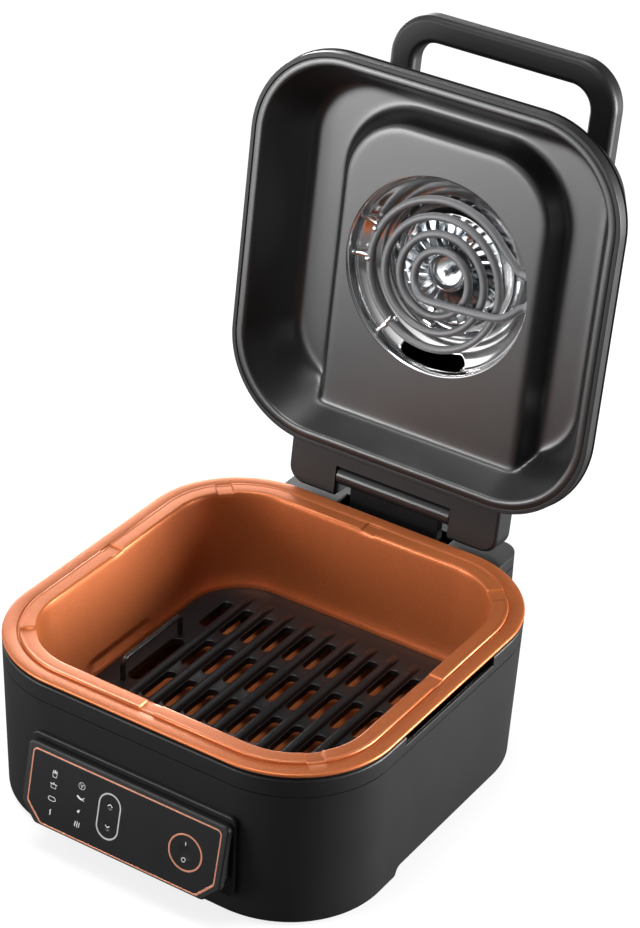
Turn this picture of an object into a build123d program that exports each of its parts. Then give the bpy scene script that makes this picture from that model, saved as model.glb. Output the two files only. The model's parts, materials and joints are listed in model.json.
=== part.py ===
from build123d import *
import math
import os

# An air fryer grill with a lift-out pot and a lid that carries the fan and the element.
# Millimetres. The origin is the middle of the footprint at table level, +Z is up and
# the control panel faces -Y. The lid is modelled shut and then turned open.

os.makedirs("parts", exist_ok=True)

# Heights of the body
flange_z = 136.0
rim_top_z = 131.0
seam_z = 116.0
skirt_bottom_z = 1.0
raised_edge_z = 11.5
raised_front_y = -58.0
step_slope = 4.0
step_toe = 5.5
step_toe_rise = 1.5
step_round = 6.0
skirt_wall = 2.6
seam_gap = 0.4

# Plan of the body, half sizes at the rim and how much the foot is drawn in
body_half_x = 159.6
body_half_y = 162.6
body_corner = 80.0
body_draw_in = 2.8
foot_round = 5.0
skirt_lip_width = 6.5
skirt_lip_height = 6.0
rim_round = 1.6

# Rear bulge that holds the hinge
bulge_half_x = 100.0
bulge_reach = 42.4
bulge_back_y = body_half_y + bulge_reach
bulge_corner = 16.0
bulge_top_z = 127.0

# Finger recess in each side of the rim
recess_half_y = 60.0
recess_depth = 7.5
recess_width = 6.0

# Floor plate and feet
plate_gap = 0.3
plate_thick = 2.5
plate_z = 12.0
foot_radius = 12.0
front_foot_x = 118.0
front_foot_y = 118.0
rear_foot_x = 138.0
rear_foot_y = 57.0
base_screw_radius = 3.0
base_screw_head = 2.0
base_screw_length = 8.0

# Well that carries the pot
well_half_x = 143.5
well_half_y = 146.0
well_corner = 66.0
well_wall = 1.0
well_bottom_z = 26.0
well_lip_half_x = 156.0
well_lip_half_y = 158.5
well_lip_corner = 76.0
well_leg_radius = 6.0
well_leg_x = 60.0
well_leg_y = 70.0

# Pot
pot_wall = 2.4
flange_overhang = 0.4
pot_outer_half_x = body_half_x + flange_overhang
pot_outer_half_y = body_half_y + flange_overhang
pot_flange_corner = 81.4
pot_groove_out = 6.8
pot_groove_in = 11.5
pot_groove_depth = 1.6
pot_ridge_half_x = 148.0
pot_ridge_half_y = 150.5
pot_ridge_corner = 70.0
pot_ridge_height = 3.0
pot_mouth_half_x = 135.6
pot_mouth_half_y = 137.8
pot_mouth_corner = 58.0
pot_floor_half_x = 121.5
pot_floor_half_y = 129.0
pot_floor_corner = 46.0
pot_floor_z = 32.0
pot_floor_round = 9.0
pot_notch_width = 12.0
pot_notch_corner_turn = 45.0

# Grill plate
grill_top_z = 55.0
grill_thick = 3.0
grill_gap = 1.2
slot_columns = 11
slot_rows = 4
slot_pitch_x = 19.35
slot_pitch_y = 51.3
slot_width = 9.6
slot_length = 38.0
rib_width = 5.2
rib_height = 4.6
rib_half_length = 118.0
grill_foot_radius = 5.0
grill_foot_x = 86.0
grill_foot_y = 106.0
bumper_height = 6.0
loop_wire = 4.4
loop_rise = 18.0
loop_half_length = 37.0
loop_x = 103.0
loop_bend = 5.0
finger_half_y = 32.0
finger_width = 13.0

# Hinge
hinge_set_back = 17.0
hinge_rise = 14.8
hinge_y = body_half_y + hinge_set_back
hinge_z = flange_z + hinge_rise
open_angle = 96.1
pin_radius = 3.0
pin_clearance = 0.05
pin_half_length = 91.0
knuckle_radius = 8.4
knuckle_half_x = 51.2
knuckle_bore = 6.6
arm_inner_x = 52.0
arm_outer_x = 95.0
spring_outer = 5.8
spring_inner = 3.4
spring_length = 38.0
bracket_thick = 4.0
bracket_web_half_x = 40.0

# Lid, depths are measured from its rim plane towards the dome
lid_gap = 3.9
rim_plane_z = flange_z + lid_gap
cover_half = body_half_x
cover_corner = 78.0
frame_step = 1.0
frame_half = cover_half - frame_step
frame_corner = cover_corner - frame_step
lip_step = 4.1
lip_width = 6.0
lid_lip_half = frame_half - lip_step
lid_mouth_half = lid_lip_half - lip_width
lid_lip_corner = 73.1
lid_mouth_corner = 67.5
lid_trough_half = 127.0
lid_trough_corner = 50.0
lid_trough_depth = 46.0
liner_wall = 1.2
platform_depth = 27.5
platform_half_x = 88.0
platform_front = 108.0
platform_corner = 52.0
platform_spread = 9.5
opening_radius = 79.5
opening_y = 2.0
frame_depth = 9.0
frame_gap = 0.4
cover_depth = 108.0
cover_top_half = 110.0
cover_top_corner = 48.0
cover_wall = 2.6
cover_round = 9.0
trough_round = 11.0
platform_round = 5.0
vent_rows = 5
vent_first_depth = 56.0
vent_pitch = 7.0
vent_slot = 3.2
vent_half_x = 45.0
plaque_depth = 46.0
plaque_size = (72.0, 20.0)
plaque_rise = 2.5

# Lid handle
handle_near = 90.0
handle_far = 107.0
handle_outer_half = 98.0
handle_inner_half = 76.0
handle_reach = 174.0
handle_inner_reach = 153.0
handle_outer_corner = 36.0
handle_inner_corner = 18.0
handle_root = 96.0
handle_round = 5.0
slope_screw_radius = 2.0
slope_screw_head = 4.0
slope_screw_head_thick = 3.0
screw_reach = 8.0
hinge_screw_x = 72.0

# Lid hinge block
block_front_depth = 2.5
block_back_depth = 24.5
block_reach = 17.0
block_bridge = 9.4
block_root_y = 138.0
block_end_round = 14.0

# Reflector dish
dish_wall = 0.8
dish_shoulder_radius = 66.0
dish_shoulder_depth = 47.0
dish_floor_radius = 58.0
dish_floor_depth = 62.0
dish_rim_depth = 37.0
dish_shaft_hole = 6.0
dish_slot_turn = 44.0
dish_slot_width = 7.0

# Heating element
tube_radius = 2.7
spiral_outer = 58.0
spiral_pitch = 12.3
spiral_half_turns = 7
spiral_depth = 34.0
lead_depth = 26.8
lead_first_run = 11.0
lead_rise_run = 15.5
lead_low_y = 19.6
lead_turn_x = 61.0
lead_high_y = 16.4
lead_last_run = 5.0
lead_bends = (8.0, 9.0, 8.0, 5.5)
terminal_depth = 34.0
outer_end_y = -20.0
inner_end_y = 4.0
outer_start_turn = 30.0
outer_lead_bend = 12.0
lead_end_gap = 4.0
terminal_radius = 4.5
terminal_length = 9.0
clip_thick = 1.0
clip_width = 7.0
clip_grip = 4.2
clip_end_gap = 1.2
clip_angles = (180.0, 205.0, 128.0)

# Fan
fan_radius = 43.0
fan_hub_radius = 15.0
fan_near = 43.0
fan_far = 56.0
fan_plate = 1.0
blade_count = 20
blade_thick = 1.0
shaft_radius = 2.5
shaft_clearance = 0.05
shaft_near = 38.5
nut_radius = 4.2
nut_thick = 3.5
motor_radius = 24.0
motor_near = 78.0
motor_far = 99.0
bracket_half_x = 109.0
bracket_half_y = 14.0
bracket_sheet = 1.5
bracket_tab = 11.0
cooling_fan_radius = 36.0
cooling_fan_near = 66.0
cooling_fan_far = 72.0

# Control panel
panel_tilt = math.degrees(math.atan(0.2))
panel_stand_out = 15.0
panel_drop = 81.6
panel_middle_y = -body_half_y - panel_stand_out
panel_middle_z = flange_z - panel_drop
trim_half_x = 82.3
trim_half_y = 28.9
trim_chamfer_x = 13.3
trim_chamfer_y = 13.8
trim_corner = 4.5
trim_width = 1.3
trim_thick = 1.6
bezel_side_margin = 4.8
bezel_top_margin = 4.4
bezel_bottom_margin = 1.4
bezel_corner = 5.0
bezel_plate = 5.0
neck_inset = 2.6
neck_end = 9.0
tier_half_x = 88.5
tier_drop = 45.0
tier_top_z = flange_z - tier_drop
tier_bottom_z = 21.5
tier_rise = 2.9
tier_front_y = -body_half_y - tier_rise
tier_corner = 6.0
pocket_inset = 5.0
pocket_end = 22.0
oval_x = -11.6
oval_y = 0.6
oval_half_x = 9.75
oval_half_y = 18.4
oval_line = 1.2
power_x = 55.1
power_y = 0.2
power_ring_radius = 14.4
power_line = 1.3
key_gap = 0.35
key_thick = 2.2
key_dish_radius = 13.0
key_dish_depth = 0.45
ring_depth = 6.0
trunnion_radius = 0.8
trunnion_depth = 4.2
trunnion_clearance = 0.05
arrow_spacing = 8.4
board_depth = 11.0
board_thick = 1.6
board_half_x = 66.0
board_half_y = 20.0
switch_size = 6.0
switch_height = 3.5
display_x = 20.0
display_half_x = 15.0
display_half_y = 9.0

# Small inner pieces
power_board_size = (26.0, 46.0)
power_board_inset = 9.0
power_board_side = 8.0
power_board_rise = 6.0
power_board_thick = 1.6
lid_switch_size = (20.0, 6.4, 10.0)
gland_radius = 8.0
gland_flange = 12.0
gland_length = 16.0
gland_z = 34.0
gland_x = 60.0
probe_radius = 2.0
fuse_radius = 2.2


def rounded_plan(half_x, half_y, corner, z, middle_y=0.0):
    """A rounded rectangle lying flat at height z."""
    return Pos(0, middle_y, z) * RectangleRounded(2 * half_x, 2 * half_y, corner)


def straight_block(half_x, half_y, corner, z_low, z_high, middle_y=0.0):
    """An upright block with rounded corners."""
    return extrude(rounded_plan(half_x, half_y, corner, z_low, middle_y), amount=z_high - z_low)


def tapered_block(low, high):
    """A block that runs from one rounded plan to another; each is half x, half y, corner, z."""
    return loft([rounded_plan(*low), rounded_plan(*high)], ruled=True)


def upright_rod(radius, z_low, z_high, x=0.0, y=0.0):
    """A vertical cylinder between two heights."""
    return Pos(x, y, (z_low + z_high) / 2) * Cylinder(radius, z_high - z_low)


def cross_rod(radius, x_low, x_high, y, z):
    """A cylinder along X between two places."""
    return Pos((x_low + x_high) / 2, y, z) * Rot(0, 90, 0) * Cylinder(radius, x_high - x_low)


def span_box(x_low, x_high, y_low, y_high, z_low, z_high):
    """A box given by its lowest and highest corners."""
    size = (x_high - x_low, y_high - y_low, z_high - z_low)
    middle = ((x_low + x_high) / 2, (y_low + y_high) / 2, (z_low + z_high) / 2)
    return Pos(*middle) * Box(*size)


def solids_of(*shapes):
    """Several separate solids as one group."""
    found = []
    for shape in shapes:
        found.extend(shape.solids())
    return Compound(children=found)


def in_lid(shape):
    """Turns a shape from the shut lid to the open one, about the hinge line."""
    hinge_line = Axis((0, hinge_y, hinge_z), (1, 0, 0))
    return shape.rotate(hinge_line, -open_angle)


# Body


def body_half_at(z):
    """Half sizes of the body's outside at a height."""
    share = (rim_top_z - z) / (rim_top_z - skirt_bottom_z)
    return body_half_x - body_draw_in * share, body_half_y - body_draw_in * share


def body_outside(inset, z_low, z_high, bulge_top):
    """The body's outer form, drawn in by an inset, with the bulge at the back."""
    low_x, low_y = body_half_at(z_low)
    high_x, high_y = body_half_at(z_high)
    corner = body_corner - inset
    form = tapered_block(
        (low_x - inset, low_y - inset, corner, z_low), (high_x - inset, high_y - inset, corner, z_high)
    )
    if inset == 0:
        form = fillet(form.faces().sort_by(Axis.Z)[0].edges(), foot_round)
        form = fillet(form.faces().sort_by(Axis.Z)[-1].edges(), rim_round)
    bulge_half_y = (bulge_back_y - inset) / 2
    bulge = straight_block(
        bulge_half_x - inset, bulge_half_y, bulge_corner - inset, max(z_low, raised_edge_z), bulge_top,
        bulge_half_y,
    )
    return form + bulge


def side_cut(far):
    """What is cut away under the sides, with a curved step at its front."""
    toe_y = raised_front_y - step_slope / 2
    low = skirt_bottom_z
    outline = Polygon(
        (toe_y - step_toe, low - 2), (toe_y - step_toe, low), (toe_y, low + step_toe_rise),
        (toe_y + step_slope, raised_edge_z), (far, raised_edge_z), (far, low - 2), align=None,
    )
    outline = fillet(outline.vertices().sort_by(Axis.X)[2:4], step_round)
    return extrude(Plane.YZ * outline, amount=far, both=True)


def make_body_shell():
    """Lower housing and rim band, cut from one hollow form at the seam."""
    outside = body_outside(0.0, skirt_bottom_z, rim_top_z, bulge_top_z)
    inside = body_outside(
        skirt_wall, skirt_bottom_z + skirt_lip_height, rim_top_z - skirt_wall, bulge_top_z - skirt_wall
    )
    lip_x, lip_y = body_half_at(skirt_bottom_z)
    lip_inset = skirt_lip_width
    floor_cut = straight_block(
        lip_x - lip_inset, lip_y - lip_inset, body_corner - lip_inset, skirt_bottom_z - 2, seam_z
    )
    shell = outside - inside
    shell -= floor_cut
    far = 2 * bulge_back_y
    shell -= side_cut(far)
    well_hole = straight_block(
        well_half_x + well_wall + plate_gap, well_half_y + well_wall + plate_gap, well_corner + well_wall,
        rim_top_z - 2 * skirt_wall, rim_top_z + 1,
    )
    shell -= well_hole
    for side in (-1, 1):
        edge = side * body_half_x
        low, high = sorted((edge - side * recess_width, edge + side * recess_width))
        notch = span_box(low, high, -recess_half_y, recess_half_y, rim_top_z - recess_depth, rim_top_z + 1)
        shell -= notch
    below = span_box(-far, far, -far, far, -1, seam_z)
    above = span_box(-far, far, -far, far, seam_z + seam_gap, 2 * flange_z)
    housing = shell & below
    rim = shell & above
    tongue = body_outside(skirt_wall, seam_z - 4, seam_z + 4, seam_z + 4)
    tongue -= body_outside(2 * skirt_wall, seam_z - 5, seam_z + 5, seam_z + 5)
    rim_low = seam_z - 4
    tongue = tongue & span_box(-far, far, -far, far, rim_low, seam_z + 4)
    housing_tongue = tongue & span_box(-far, far, -far, far, rim_low, seam_z + 3)
    housing = housing + housing_tongue
    housing -= gland_seat()
    housing -= panel_opening()
    rim -= hinge_opening()
    rim -= housing_tongue
    return housing, rim


def hinge_opening():
    """Slot in the top of the bulge that the hinge bracket stands in."""
    return span_box(
        -knuckle_half_x, knuckle_half_x, hinge_y - knuckle_radius - 1, hinge_y + knuckle_radius + 1,
        bulge_top_z - 2 * skirt_wall, bulge_top_z + 1,
    )


def floor_half():
    """Half sizes and corner of the floor plate."""
    half_x, half_y = body_half_at(plate_z)
    inset = skirt_wall + plate_gap
    return half_x - inset, half_y - inset, body_corner - inset


def foot_places():
    """Middle of each foot."""
    front = [(side * front_foot_x, -front_foot_y) for side in (-1, 1)]
    rear = [(side * rear_foot_x, rear_foot_y) for side in (-1, 1)]
    return front + rear


def screw_places():
    """Middle of each floor screw, under a leg of the well."""
    return [(x, y) for x in (-well_leg_x, well_leg_x) for y in (-well_leg_y, well_leg_y)]


def make_floor():
    """Floor plate, the feet and the screws that go up into the well's legs."""
    half_x, half_y, corner = floor_half()
    plate = straight_block(half_x, half_y, corner, plate_z, plate_z + plate_thick)
    bulge_half_y = (bulge_back_y - skirt_wall - plate_gap) / 2
    plate += straight_block(
        bulge_half_x - skirt_wall - plate_gap, bulge_half_y, bulge_corner - skirt_wall, plate_z,
        plate_z + plate_thick, bulge_half_y,
    )
    feet = [upright_rod(foot_radius, 0, plate_z, x, y) for x, y in foot_places()]
    feet = [chamfer(foot.faces().sort_by(Axis.Z)[0].edges(), 1.5) for foot in feet]
    screws = []
    for x, y in screw_places():
        hole = upright_rod(base_screw_radius / 2, plate_z - 1, plate_z + plate_thick + 1, x, y)
        plate -= hole
        head = upright_rod(base_screw_radius, plate_z - base_screw_head, plate_z, x, y)
        shank = upright_rod(base_screw_radius / 2, plate_z, plate_z + base_screw_length, x, y)
        screws.append(head + shank)
    return plate, solids_of(*feet), solids_of(*screws)


def make_well():
    """Thin well with a lip that lies on the rim and four legs down to the floor plate."""
    outer = straight_block(
        well_half_x + well_wall, well_half_y + well_wall, well_corner + well_wall, well_bottom_z, rim_top_z
    )
    lip = straight_block(well_lip_half_x, well_lip_half_y, well_lip_corner, rim_top_z, rim_top_z + well_wall)
    inner = straight_block(
        well_half_x, well_half_y, well_corner, well_bottom_z + well_wall, rim_top_z + 2 * well_wall
    )
    well = outer + lip - inner
    top_of_plate = plate_z + plate_thick
    for x, y in screw_places():
        well += upright_rod(well_leg_radius, top_of_plate, well_bottom_z, x, y)
        well -= upright_rod(base_screw_radius / 2, top_of_plate - 1, plate_z + base_screw_length, x, y)
    return well


# Pot and grill


def pot_cavity(grow):
    """The pot's inside, or with a wall's growth its outside below the flange."""
    height = flange_z + pot_ridge_height - pot_floor_z
    above = 10 / height
    mouth = (
        pot_mouth_half_x + above * (pot_mouth_half_x - pot_floor_half_x) + grow,
        pot_mouth_half_y + above * (pot_mouth_half_y - pot_floor_half_y) + grow,
        pot_mouth_corner + above * (pot_mouth_corner - pot_floor_corner) + grow,
        flange_z + pot_ridge_height + 10,
    )
    ground = (
        pot_floor_half_x + grow, pot_floor_half_y + grow, pot_floor_corner + grow, pot_floor_z - grow
    )
    form = tapered_block(ground, mouth)
    return fillet(form.faces().sort_by(Axis.Z)[0].edges(), pot_floor_round + grow)


def make_pot():
    """Pot with rolled flange, groove and the notched ridge round its mouth."""
    flange_low = flange_z - pot_wall
    pot = straight_block(pot_outer_half_x, pot_outer_half_y, pot_flange_corner, flange_low, flange_z)
    pot = fillet(pot.faces().sort_by(Axis.Z)[-1].edges(), 1.1)
    well_top = rim_top_z + well_wall
    step = straight_block(
        pot_outer_half_x - pot_groove_out + pot_wall, pot_outer_half_y - pot_groove_out + pot_wall,
        pot_flange_corner - pot_groove_out + pot_wall, well_top, flange_low,
    )
    pot += step & straight_block(
        well_lip_half_x - plate_gap, well_lip_half_y - plate_gap, well_lip_corner - plate_gap, well_top,
        flange_low,
    )
    groove = straight_block(
        pot_outer_half_x - pot_groove_out, pot_outer_half_y - pot_groove_out,
        pot_flange_corner - pot_groove_out, flange_z - pot_groove_depth, flange_z + 1,
    )
    groove -= straight_block(
        pot_outer_half_x - pot_groove_in, pot_outer_half_y - pot_groove_in,
        pot_flange_corner - pot_groove_in, flange_z - 2 * pot_groove_depth, flange_z + 2,
    )
    pot -= groove
    ridge = tapered_block(
        (pot_ridge_half_x, pot_ridge_half_y, pot_ridge_corner, flange_z - 1),
        (pot_ridge_half_x - 1, pot_ridge_half_y - 1, pot_ridge_corner - 1, flange_z + pot_ridge_height),
    )
    reach_x = pot_ridge_half_x
    reach_y = pot_ridge_half_y
    half_notch = pot_notch_width / 2
    for turn in (0, 180):
        cut = span_box(reach_x - 14, reach_x + 4, -half_notch, half_notch, flange_z, flange_z + 5)
        ridge -= Rot(0, 0, turn) * cut
        cut = span_box(-half_notch, half_notch, reach_y - 14, reach_y + 4, flange_z, flange_z + 5)
        ridge -= Rot(0, 0, turn) * cut
    diagonal = math.hypot(reach_x, reach_y) - pot_ridge_corner * (math.sqrt(2) - 1)
    for quarter in range(4):
        turn = pot_notch_corner_turn + 90 * quarter
        cut = span_box(diagonal - 16, diagonal + 6, -half_notch, half_notch, flange_z, flange_z + 5)
        ridge -= Rot(0, 0, turn) * cut
    pot += ridge
    outside = pot_cavity(pot_wall)
    far = 2 * pot_outer_half_y
    pot += outside & span_box(-far, far, -far, far, 0, flange_z)
    return pot - pot_cavity(0.0)


def slot_places():
    """Middle of each slot; the two middle rows leave room for the finger openings."""
    places = []
    for row in range(slot_rows):
        y = (row - (slot_rows - 1) / 2) * slot_pitch_y
        outermost = row in (0, slot_rows - 1)
        count = slot_columns if outermost else slot_columns - 2
        for column in range(count):
            places.append(((column - (count - 1) / 2) * slot_pitch_x, y))
    return places


def slot_line_x():
    """Inner edge of the outermost slots, in line with the inner edge of the finger openings."""
    return (slot_columns - 1) / 2 * slot_pitch_x - slot_width / 2


def loop_feet(side):
    """Where one wire loop enters the plate."""
    return [(side * loop_x, -loop_half_length), (side * loop_x, loop_half_length)]


def make_grill():
    """Plate in three spans with slots, ribs, feet and finger openings, its tips and its wire loops."""
    plate_low = grill_top_z - grill_thick
    level = (plate_low - pot_floor_z) / (flange_z + pot_ridge_height - pot_floor_z)
    half_x = pot_floor_half_x + level * (pot_mouth_half_x - pot_floor_half_x) - grill_gap
    half_y = pot_floor_half_y + level * (pot_mouth_half_y - pot_floor_half_y) - grill_gap
    corner = pot_floor_corner + level * (pot_mouth_corner - pot_floor_corner)
    plate = straight_block(half_x, half_y, corner, plate_low, grill_top_z)
    plate = fillet(plate.faces().sort_by(Axis.Z)[-1].edges(), 1.0)
    rib_count = slot_columns + 1
    for column in range(rib_count):
        x = (column - (rib_count - 1) / 2) * slot_pitch_x
        half_length = rib_half_length
        if column in (0, rib_count - 1):
            continue
        rib = loft(
            [
                Pos(x, 0, grill_top_z - 0.5) * Rectangle(rib_width, 2 * half_length),
                Pos(x, 0, grill_top_z + rib_height) * Rectangle(rib_width / 2, 2 * half_length - rib_height),
            ],
            ruled=True,
        )
        plate += rib
    slots = [Pos(x, y) * Rot(0, 0, 90) * SlotOverall(slot_length, slot_width) for x, y in slot_places()]
    for side in (-1, 1):
        finger = Rot(0, 0, 90) * SlotOverall(2 * finger_half_y, finger_width)
        slots.append(Pos(side * (slot_line_x() + finger_width / 2), 0) * finger)
    cutter = extrude(Pos(0, 0, plate_low - 1) * Sketch(children=[s.faces()[0] for s in slots]), amount=20)
    plate -= cutter
    bumpers = []
    for x in (-grill_foot_x, grill_foot_x):
        for y in (-grill_foot_y, grill_foot_y):
            plate += upright_rod(grill_foot_radius, pot_floor_z + bumper_height, plate_low + 0.5, x, y)
            bumpers.append(upright_rod(grill_foot_radius + 1, pot_floor_z, pot_floor_z + bumper_height, x, y))
    loops = []
    loop_low = plate_low
    for side in (-1, 1):
        (x, y_front), (_, y_back) = loop_feet(side)
        top = grill_top_z + loop_rise
        path = FilletPolyline(
            (x, y_front, loop_low), (x, y_front, top), (x, y_back, top), (x, y_back, loop_low),
            radius=loop_bend,
        )
        wire = sweep(Plane(origin=(x, y_front, loop_low), z_dir=(0, 0, 1)) * Circle(loop_wire / 2), path=path)
        loops.append(wire)
        for foot_x, foot_y in loop_feet(side):
            plate -= upright_rod(loop_wire / 2, plate_low - 1, grill_top_z + rib_height + 1, foot_x, foot_y)
    far = 2 * pot_outer_half_x
    line = slot_line_x()
    left = plate & span_box(-far, -line, -far, far, 0, far)
    middle = plate & span_box(-line, line, -far, far, 0, far)
    right = plate & span_box(line, far, -far, far, 0, far)
    return middle, left, right, solids_of(*bumpers), solids_of(*loops)


# Hinge


def make_hinge():
    """Bracket with the barrel between the arms, the pin and the two springs in the barrel."""
    barrel = cross_rod(knuckle_radius, -knuckle_half_x, knuckle_half_x, hinge_y, hinge_z)
    web = span_box(
        -bracket_web_half_x, bracket_web_half_x, hinge_y - bracket_thick, hinge_y + bracket_thick,
        plate_z + plate_thick, hinge_z,
    )
    foot = span_box(
        -bracket_web_half_x, bracket_web_half_x, hinge_y - 4 * bracket_thick, hinge_y + 4 * bracket_thick,
        plate_z + plate_thick, plate_z + plate_thick + bracket_thick,
    )
    bracket = barrel + web + foot
    bore = cross_rod(knuckle_bore, -knuckle_half_x + 4, knuckle_half_x - 4, hinge_y, hinge_z)
    bracket -= bore
    bracket -= cross_rod(pin_radius, -knuckle_half_x - 1, knuckle_half_x + 1, hinge_y, hinge_z)
    pin = cross_rod(pin_radius, -pin_half_length, pin_half_length, hinge_y, hinge_z)
    springs = []
    for side in (-1, 1):
        near = side * 4.5
        far = near + side * spring_length
        low, high = sorted((near, far))
        coil = cross_rod(spring_outer, low, high, hinge_y, hinge_z)
        springs.append(coil - cross_rod(spring_inner, low - 1, high + 1, hinge_y, hinge_z))
    return bracket, pin, solids_of(*springs)


# Control panel


def panel_place(depth=0.0):
    """The panel's plane, tilted back, at a depth behind its face."""
    turn = math.radians(panel_tilt)
    normal = (0, -math.cos(turn), math.sin(turn))
    origin = (0, panel_middle_y - depth * normal[1], panel_middle_z - depth * normal[2])
    return Plane(origin=origin, x_dir=(1, 0, 0), z_dir=normal)


def panel_outline(side, top, bottom, corner):
    """Panel outline with two chamfered lower corners, grown by three margins."""
    wide = trim_half_x + side
    high = trim_half_y + top
    low = -trim_half_y - bottom
    cut_x = wide - trim_chamfer_x
    cut_y = low + trim_chamfer_y
    outline = Polygon(
        (-wide, high), (-wide, cut_y), (-cut_x, low), (cut_x, low), (wide, cut_y), (wide, high), align=None
    )
    if corner > 0:
        outline = fillet(outline.vertices(), corner)
    return outline


def panel_layer(outline, near, far):
    """An outline of the panel as a slab between two depths behind the face."""
    return extrude(panel_place(far) * outline, amount=far - near)


def key_outline(shrink):
    """The oval and the round key outlines, drawn in by an amount."""
    tall = 2 * (oval_half_y - shrink)
    wide = 2 * (oval_half_x - shrink)
    oval = Pos(oval_x, oval_y) * Rot(0, 0, 90) * SlotOverall(tall, wide)
    disc = Pos(power_x, power_y) * Circle(power_ring_radius - shrink)
    return oval, disc


def panel_opening():
    """Opening in the housing behind the panel's pocket."""
    half_x = tier_half_x - 3 * pocket_inset
    return span_box(half_x * -1, half_x, -body_half_y - 5, -body_half_y + 12, tier_bottom_z + 10, tier_top_z - 10)


def make_bezel(outside):
    """Panel body: front plate, recessed neck and the tier on the housing."""
    plate = panel_layer(
        panel_outline(bezel_side_margin, bezel_top_margin, bezel_bottom_margin, bezel_corner), 0, bezel_plate
    )
    outward = Axis((0, 0, 0), tuple(panel_place().z_dir))
    plate = fillet(plate.faces().sort_by(outward)[-1].edges(), 1.6)
    neck = panel_layer(
        panel_outline(
            bezel_side_margin - neck_inset, bezel_top_margin - neck_inset, bezel_bottom_margin - neck_inset,
            bezel_corner - 2,
        ),
        bezel_plate - 0.5, neck_end + 14,
    )
    tier_high = (tier_top_z + tier_bottom_z) / 2
    tier_sketch = Plane(origin=(0, tier_front_y, tier_high), x_dir=(1, 0, 0), z_dir=(0, -1, 0))
    tier_outline = RectangleRounded(2 * tier_half_x, tier_top_z - tier_bottom_z, tier_corner)
    tier = extrude(tier_sketch * tier_outline, amount=-20)
    tier = fillet(tier.faces().sort_by(Axis.Y)[0].edges(), 1.2)
    bezel = plate + neck + tier
    bezel -= outside
    seat = panel_layer(panel_outline(0, 0, 0, trim_corner), -1, trim_thick)
    pocket = panel_layer(
        panel_outline(-pocket_inset, -pocket_inset, -pocket_inset, trim_corner), -1, pocket_end
    )
    return bezel - seat - pocket


def make_panel_faces():
    """Copper line, glossy window and the two key rings with their sleeves."""
    whole = panel_layer(panel_outline(0, 0, 0, trim_corner), 0, trim_thick)
    window = panel_layer(
        panel_outline(-trim_width, -trim_width, -trim_width, trim_corner - trim_width), 0, trim_thick
    )
    trim = whole - window
    oval, disc = key_outline(0)
    lens = window - panel_layer(oval, -1, trim_thick + 1) - panel_layer(disc, -1, trim_thick + 1)
    oval_in, _ = key_outline(oval_line)
    _, disc_in = key_outline(power_line)
    arrow_ring = panel_layer(oval, 0, ring_depth) - panel_layer(oval_in, -1, ring_depth + 1)
    power_ring = panel_layer(disc, 0, ring_depth) - panel_layer(disc_in, -1, ring_depth + 1)
    arrow_ring -= trunnion(oval_x, oval_y, oval_half_x, trunnion_radius)
    power_ring -= trunnion(power_x, power_y, power_ring_radius, trunnion_radius)
    return trim, lens, arrow_ring, power_ring


def trunnion(middle_x, middle_y, reach, radius):
    """Cross pin of a key, at its depth behind the panel's face."""
    rod = Rot(0, 90, 0) * Cylinder(radius, 2 * reach)
    return panel_place(trunnion_depth).location * Pos(middle_x, middle_y, 0) * rod


def make_key(outline, middle_x, middle_y, reach, dish_offsets, dish_radius):
    """A seesaw key: cap with finger dishes and a cross pin in the ring's sleeve."""
    key = panel_layer(outline, 0.2, 0.2 + key_thick)
    ball_rise = dish_radius - key_dish_depth
    for offset in dish_offsets:
        ball = Pos(middle_x, middle_y + offset, ball_rise - 0.2) * Sphere(dish_radius)
        key -= panel_place().location * ball
    rib = Pos(middle_x, middle_y) * Rectangle(2 * reach - 4 * key_gap - 2, 2.4)
    key += panel_layer(rib, key_thick, trunnion_depth + 1)
    for offset in (-arrow_spacing, arrow_spacing):
        plunger = Pos(middle_x, middle_y + offset) * Circle(1.5)
        key += panel_layer(plunger, key_thick, board_depth - switch_height - 2.3)
    pin = trunnion(middle_x, middle_y, reach - key_gap, trunnion_radius - trunnion_clearance)
    return key + pin


def make_keys():
    """The arrow key and the power key."""
    oval, _ = key_outline(oval_line + key_gap)
    _, disc = key_outline(power_line + key_gap)
    arrow = make_key(oval, oval_x, oval_y, oval_half_x, (-arrow_spacing, arrow_spacing), key_dish_radius)
    power = make_key(disc, power_x, power_y, power_ring_radius, (0,), 4 * key_dish_radius)
    return arrow, power


def make_boards():
    """Control board with its standoffs, the display and the four switches."""
    outline = Rectangle(2 * board_half_x, 2 * board_half_y)
    board = panel_layer(outline, board_depth, board_depth + board_thick)
    for x in (-board_half_x + 4, board_half_x - 4):
        for y in (-board_half_y + 4, board_half_y - 4):
            board += panel_layer(Pos(x, y) * Circle(2.0), trim_thick, board_depth + 0.5)
    window = Pos(display_x, 0) * Rectangle(2 * display_half_x, 2 * display_half_y)
    display = panel_layer(window, trim_thick + 0.2, board_depth)
    switches = []
    spots = [(oval_x, oval_y - arrow_spacing), (oval_x, oval_y + arrow_spacing)]
    spots += [(power_x, power_y - arrow_spacing), (power_x, power_y + arrow_spacing)]
    for x, y in spots:
        body = Pos(x, y) * Rectangle(switch_size, switch_size)
        stem = Pos(x, y) * Circle(switch_size / 4)
        switch = panel_layer(body, board_depth - switch_height, board_depth)
        switch += panel_layer(stem, board_depth - switch_height - 1.8, board_depth - switch_height + 0.5)
        switches.append(switch)
    return board, display, solids_of(*switches)


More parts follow.
